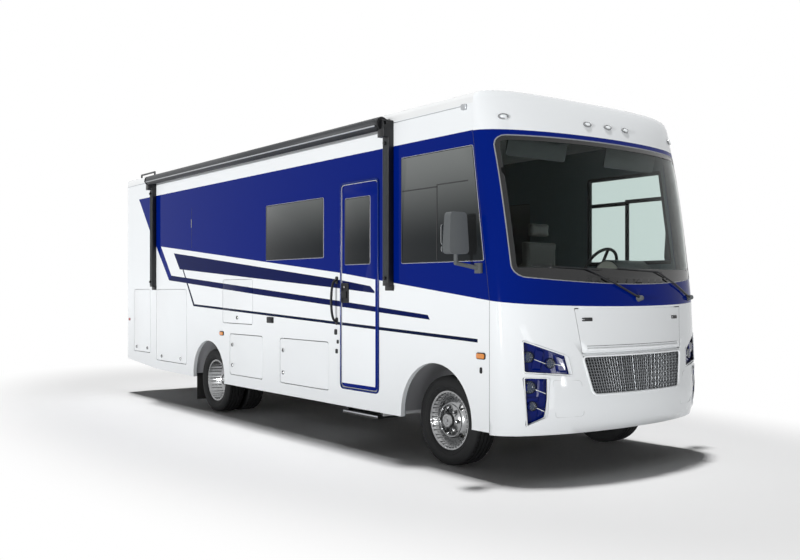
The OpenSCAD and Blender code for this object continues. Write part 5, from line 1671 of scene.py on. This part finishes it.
class MOTORHOME_OT_panels(bpy.types.Operator):
    """Eases the edges of the doors and hatches and smooths the rounded shells"""

    bl_idname = "motorhome.panels"
    bl_label = "Panels"

    def execute(self, context):
        for name in ("tail_hatch", "rear_hatch", "access_hatch", "bay_door_rear", "bay_door_front",
                     "left_bay_door_rear", "left_bay_door_front", "entry_door"):
            panel = merged_node(name)
            with editing(panel):
                bpy.ops.mesh.dissolve_limited(angle_limit=math.radians(1))
            bevelled(panel, 0.004, 2, 40)
            finish = "door_paint" if name == "entry_door" else "gelcoat"
            finished(panel, f"{name}_panel", finish, name, degrees=40, replaces=[name])
        for name, finish, angle in (("roof", "roof_membrane", 30), ("rear_cap", "nose_paint", 30),
                                    ("wheel_liners", "liner_plastic", 30)):
            finished(merged_node(name), f"{name}_skin", finish, degrees=angle, replaces=[name])
        return {"FINISHED"}


# ------------------------------------------------------------------ cab
class MOTORHOME_OT_cab(bpy.types.Operator):
    """Fits the dashboard, steering wheel and headlining"""

    bl_idname = "motorhome.cab"
    bl_label = "Cab"

    DASH_X = 3.5295
    VISOR_X = 3.74

    def execute(self, context):
        finished(bevelled(merged_node("dashboard"), 0.012, 3, 50), "dash_shell", "dash_vinyl", degrees=40,
                 replaces=["dashboard"])
        finished(merged_node("steering_wheel"), "steering_rim", "moulded_black", degrees=60,
                 replaces=["steering_wheel"])
        # The dark hood over the dials
        hood = lathed([(0.153, -0.236), (0.158, -0.230), (0.158, 0.230), (0.153, 0.236)], 48)
        dial_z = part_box("dashboard")[1].z - 0.150
        placed(hood, (3.68, 0.56, dial_z), 90, "X")
        with editing(hood):
            bpy.ops.mesh.bisect(plane_co=(3.60, 0.56, dial_z + 0.03), plane_no=(-0.35, 0, -1),
                                clear_outer=True)
        apply(hood, "SOLIDIFY", thickness=0.004, offset=1.0)
        finished(hood, "dial_hood", "dark_vinyl", degrees=50)
        for number, y in enumerate((-0.62, -0.18, 0.18)):
            outline = [(self.DASH_X, y + p[0], 1.64 + p[1])
                       for p in rectangle(0, 0, 0.16, 0.07, 0.015)]
            vent = plate(outline, (-1, 0, 0), 0.008, 0.003)
            finished(vent, f"dash_vent_{number}", "moulded_black")
        screen = plate([(self.DASH_X, p[0], 1.50 + p[1]) for p in rectangle(0, 0, 0.24, 0.15, 0.012)],
                       (-1, 0, 0), 0.012, 0.003)
        finished(screen, "dash_screen", "glazed_black")
        lining = block((-4.17, -1.22, 3.040), (3.50, 1.22, 3.052))
        with editing(lining):
            bpy.ops.mesh.subdivide(number_cuts=6)
        finished(bevelled(lining, 0.004), "headlining", "headliner_cloth")
        for name, side in SIDES.items():
            outline = [(self.VISOR_X, side * 0.62 + p[0], 2.78 + p[1])
                       for p in rectangle(0, 0, 0.72, 0.20, 0.03)]
            hinge = (self.VISOR_X, 0, 2.88)
            visor = placed(plate(outline, (-1, 0, 0), 0.018, 0.006), hinge, 12, "Y", hinge)
            finished(visor, f"sun_visor_{name}", "dark_vinyl")
        return {"FINISHED"}


class MOTORHOME_OT_seats(bpy.types.Operator):
    """Pads the two cab seats and sets them on their pedestals"""

    bl_idname = "motorhome.seats"
    bl_label = "Cab seats"

    SEAT_X = 2.84
    SEAT_Y = 0.58

    def execute(self, context):
        x, y, z = self.SEAT_X, self.SEAT_Y, FLOOR_Z
        pads = {"cushion": ((x - 0.20, y - 0.25, z + 0.305), (x + 0.255, y + 0.25, z + 0.425)),
                "back": ((x - 0.325, y - 0.25, z + 0.42), (x - 0.215, y + 0.25, z + 1.02)),
                "headrest": ((x - 0.32, y - 0.145, z + 1.035), (x - 0.23, y + 0.145, z + 1.195)),
                "outer_armrest": ((x - 0.235, y + 0.262, z + 0.605), (x + 0.135, y + 0.318, z + 0.655)),
                "inner_armrest": ((x - 0.235, y - 0.318, z + 0.605), (x + 0.135, y - 0.262, z + 0.655))}
        first = True
        for name, (low, high) in pads.items():
            pad = self.pad(low, high, 0.010 if "arm" in name else 0.024)
            for side_name, side in SIDES.items():
                made = copied(pad) if side == LEFT else mirrored(pad)
                finished(made, f"seat_{name}_{side_name}", "seat_leather", degrees=60,
                         replaces=["cab_seats"] if first else [])
                first = False
            bpy.data.objects.remove(pad)
        for side_name, side in SIDES.items():
            base = block((x - 0.19, side * y - 0.19, z), (x + 0.19, side * y + 0.19, z + 0.298))
            with editing(base):
                choose(base, "FACE", lambda face: face.normal.z > 0.9)
                bpy.ops.transform.resize(value=(0.8, 0.8, 1), center_override=(x, side * y, z + 0.298))
            finished(bevelled(base, 0.02, 3), f"seat_pedestal_{side_name}", "dark_vinyl")
        return {"FINISHED"}

    def pad(self, low, high, swell):
        """A stuffed pad: a remeshed block blown up by cloth pressure within a limit."""
        low, high = Vector(low), Vector(high)
        margin = Vector((swell, swell, swell)) * 0.55
        pad = bevelled(block(low + margin, high - margin), 0.02, 3)
        apply(pad, "REMESH", mode="VOXEL", voxel_size=0.009)
        start = [v.co.copy() for v in pad.data.vertices]
        only(pad)
        cloth = pad.modifiers.new("cloth", "CLOTH")
        cloth.settings.use_pressure = True
        cloth.settings.uniform_pressure_force = 4
        cloth.settings.effector_weights.gravity = 0
        for number in range(1, 21):
            bpy.context.scene.frame_set(number)
        bpy.ops.object.modifier_apply(modifier=cloth.name)
        bpy.context.scene.frame_set(1)
        for vertex, place in zip(pad.data.vertices, start):
            move = vertex.co - place
            if move.length > swell:
                vertex.co = place + move.normalized() * swell
            vertex.co = Vector([min(max(c, a), b) for c, a, b in zip(vertex.co, low, high)])
        return apply(pad, "SUBSURF", levels=1, render_levels=1)


# ------------------------------------------------------------------ add-on
OPERATORS = (MOTORHOME_OT_stage, MOTORHOME_OT_node_finishes, MOTORHOME_OT_front_skin,
             MOTORHOME_OT_windshield_trim, MOTORHOME_OT_grille_screen, MOTORHOME_OT_front_details,
             MOTORHOME_OT_head_lamps, MOTORHOME_OT_tyres, MOTORHOME_OT_rims, MOTORHOME_OT_side_glass,
             MOTORHOME_OT_doors, MOTORHOME_OT_step, MOTORHOME_OT_awning, MOTORHOME_OT_mirrors,
             MOTORHOME_OT_wipers, MOTORHOME_OT_roof_fittings, MOTORHOME_OT_rear_fittings,
             MOTORHOME_OT_driver_side, MOTORHOME_OT_panels, MOTORHOME_OT_cab, MOTORHOME_OT_seats)


class MOTORHOME_PT_panel(bpy.types.Panel):
    """Lists the settings and the steps"""

    bl_label = "Motorhome"
    bl_space_type = "VIEW_3D"
    bl_region_type = "UI"
    bl_category = "Motorhome"

    def draw(self, context):
        for group in ("motorhome_paint", "motorhome_stage"):
            settings = getattr(context.scene, group)
            for name in settings.__annotations__:
                self.layout.prop(settings, name)
        for operator in OPERATORS:
            self.layout.operator(operator.bl_idname)


CLASSES = (MotorhomePaint, MotorhomeStage, *OPERATORS, MOTORHOME_PT_panel)


def register():
    for made in CLASSES:
        bpy.utils.register_class(made)
    bpy.types.Scene.motorhome_paint = bpy.props.PointerProperty(type=MotorhomePaint)
    bpy.types.Scene.motorhome_stage = bpy.props.PointerProperty(type=MotorhomeStage)


def unregister():
    del bpy.types.Scene.motorhome_stage
    del bpy.types.Scene.motorhome_paint
    for made in reversed(CLASSES):
        bpy.utils.unregister_class(made)


def main():
    """Runs every step in order."""
    register()
    for operator in OPERATORS:
        group, name = operator.bl_idname.split(".")
        getattr(getattr(bpy.ops, group), name)()


if __name__ == "__main__":
    main()
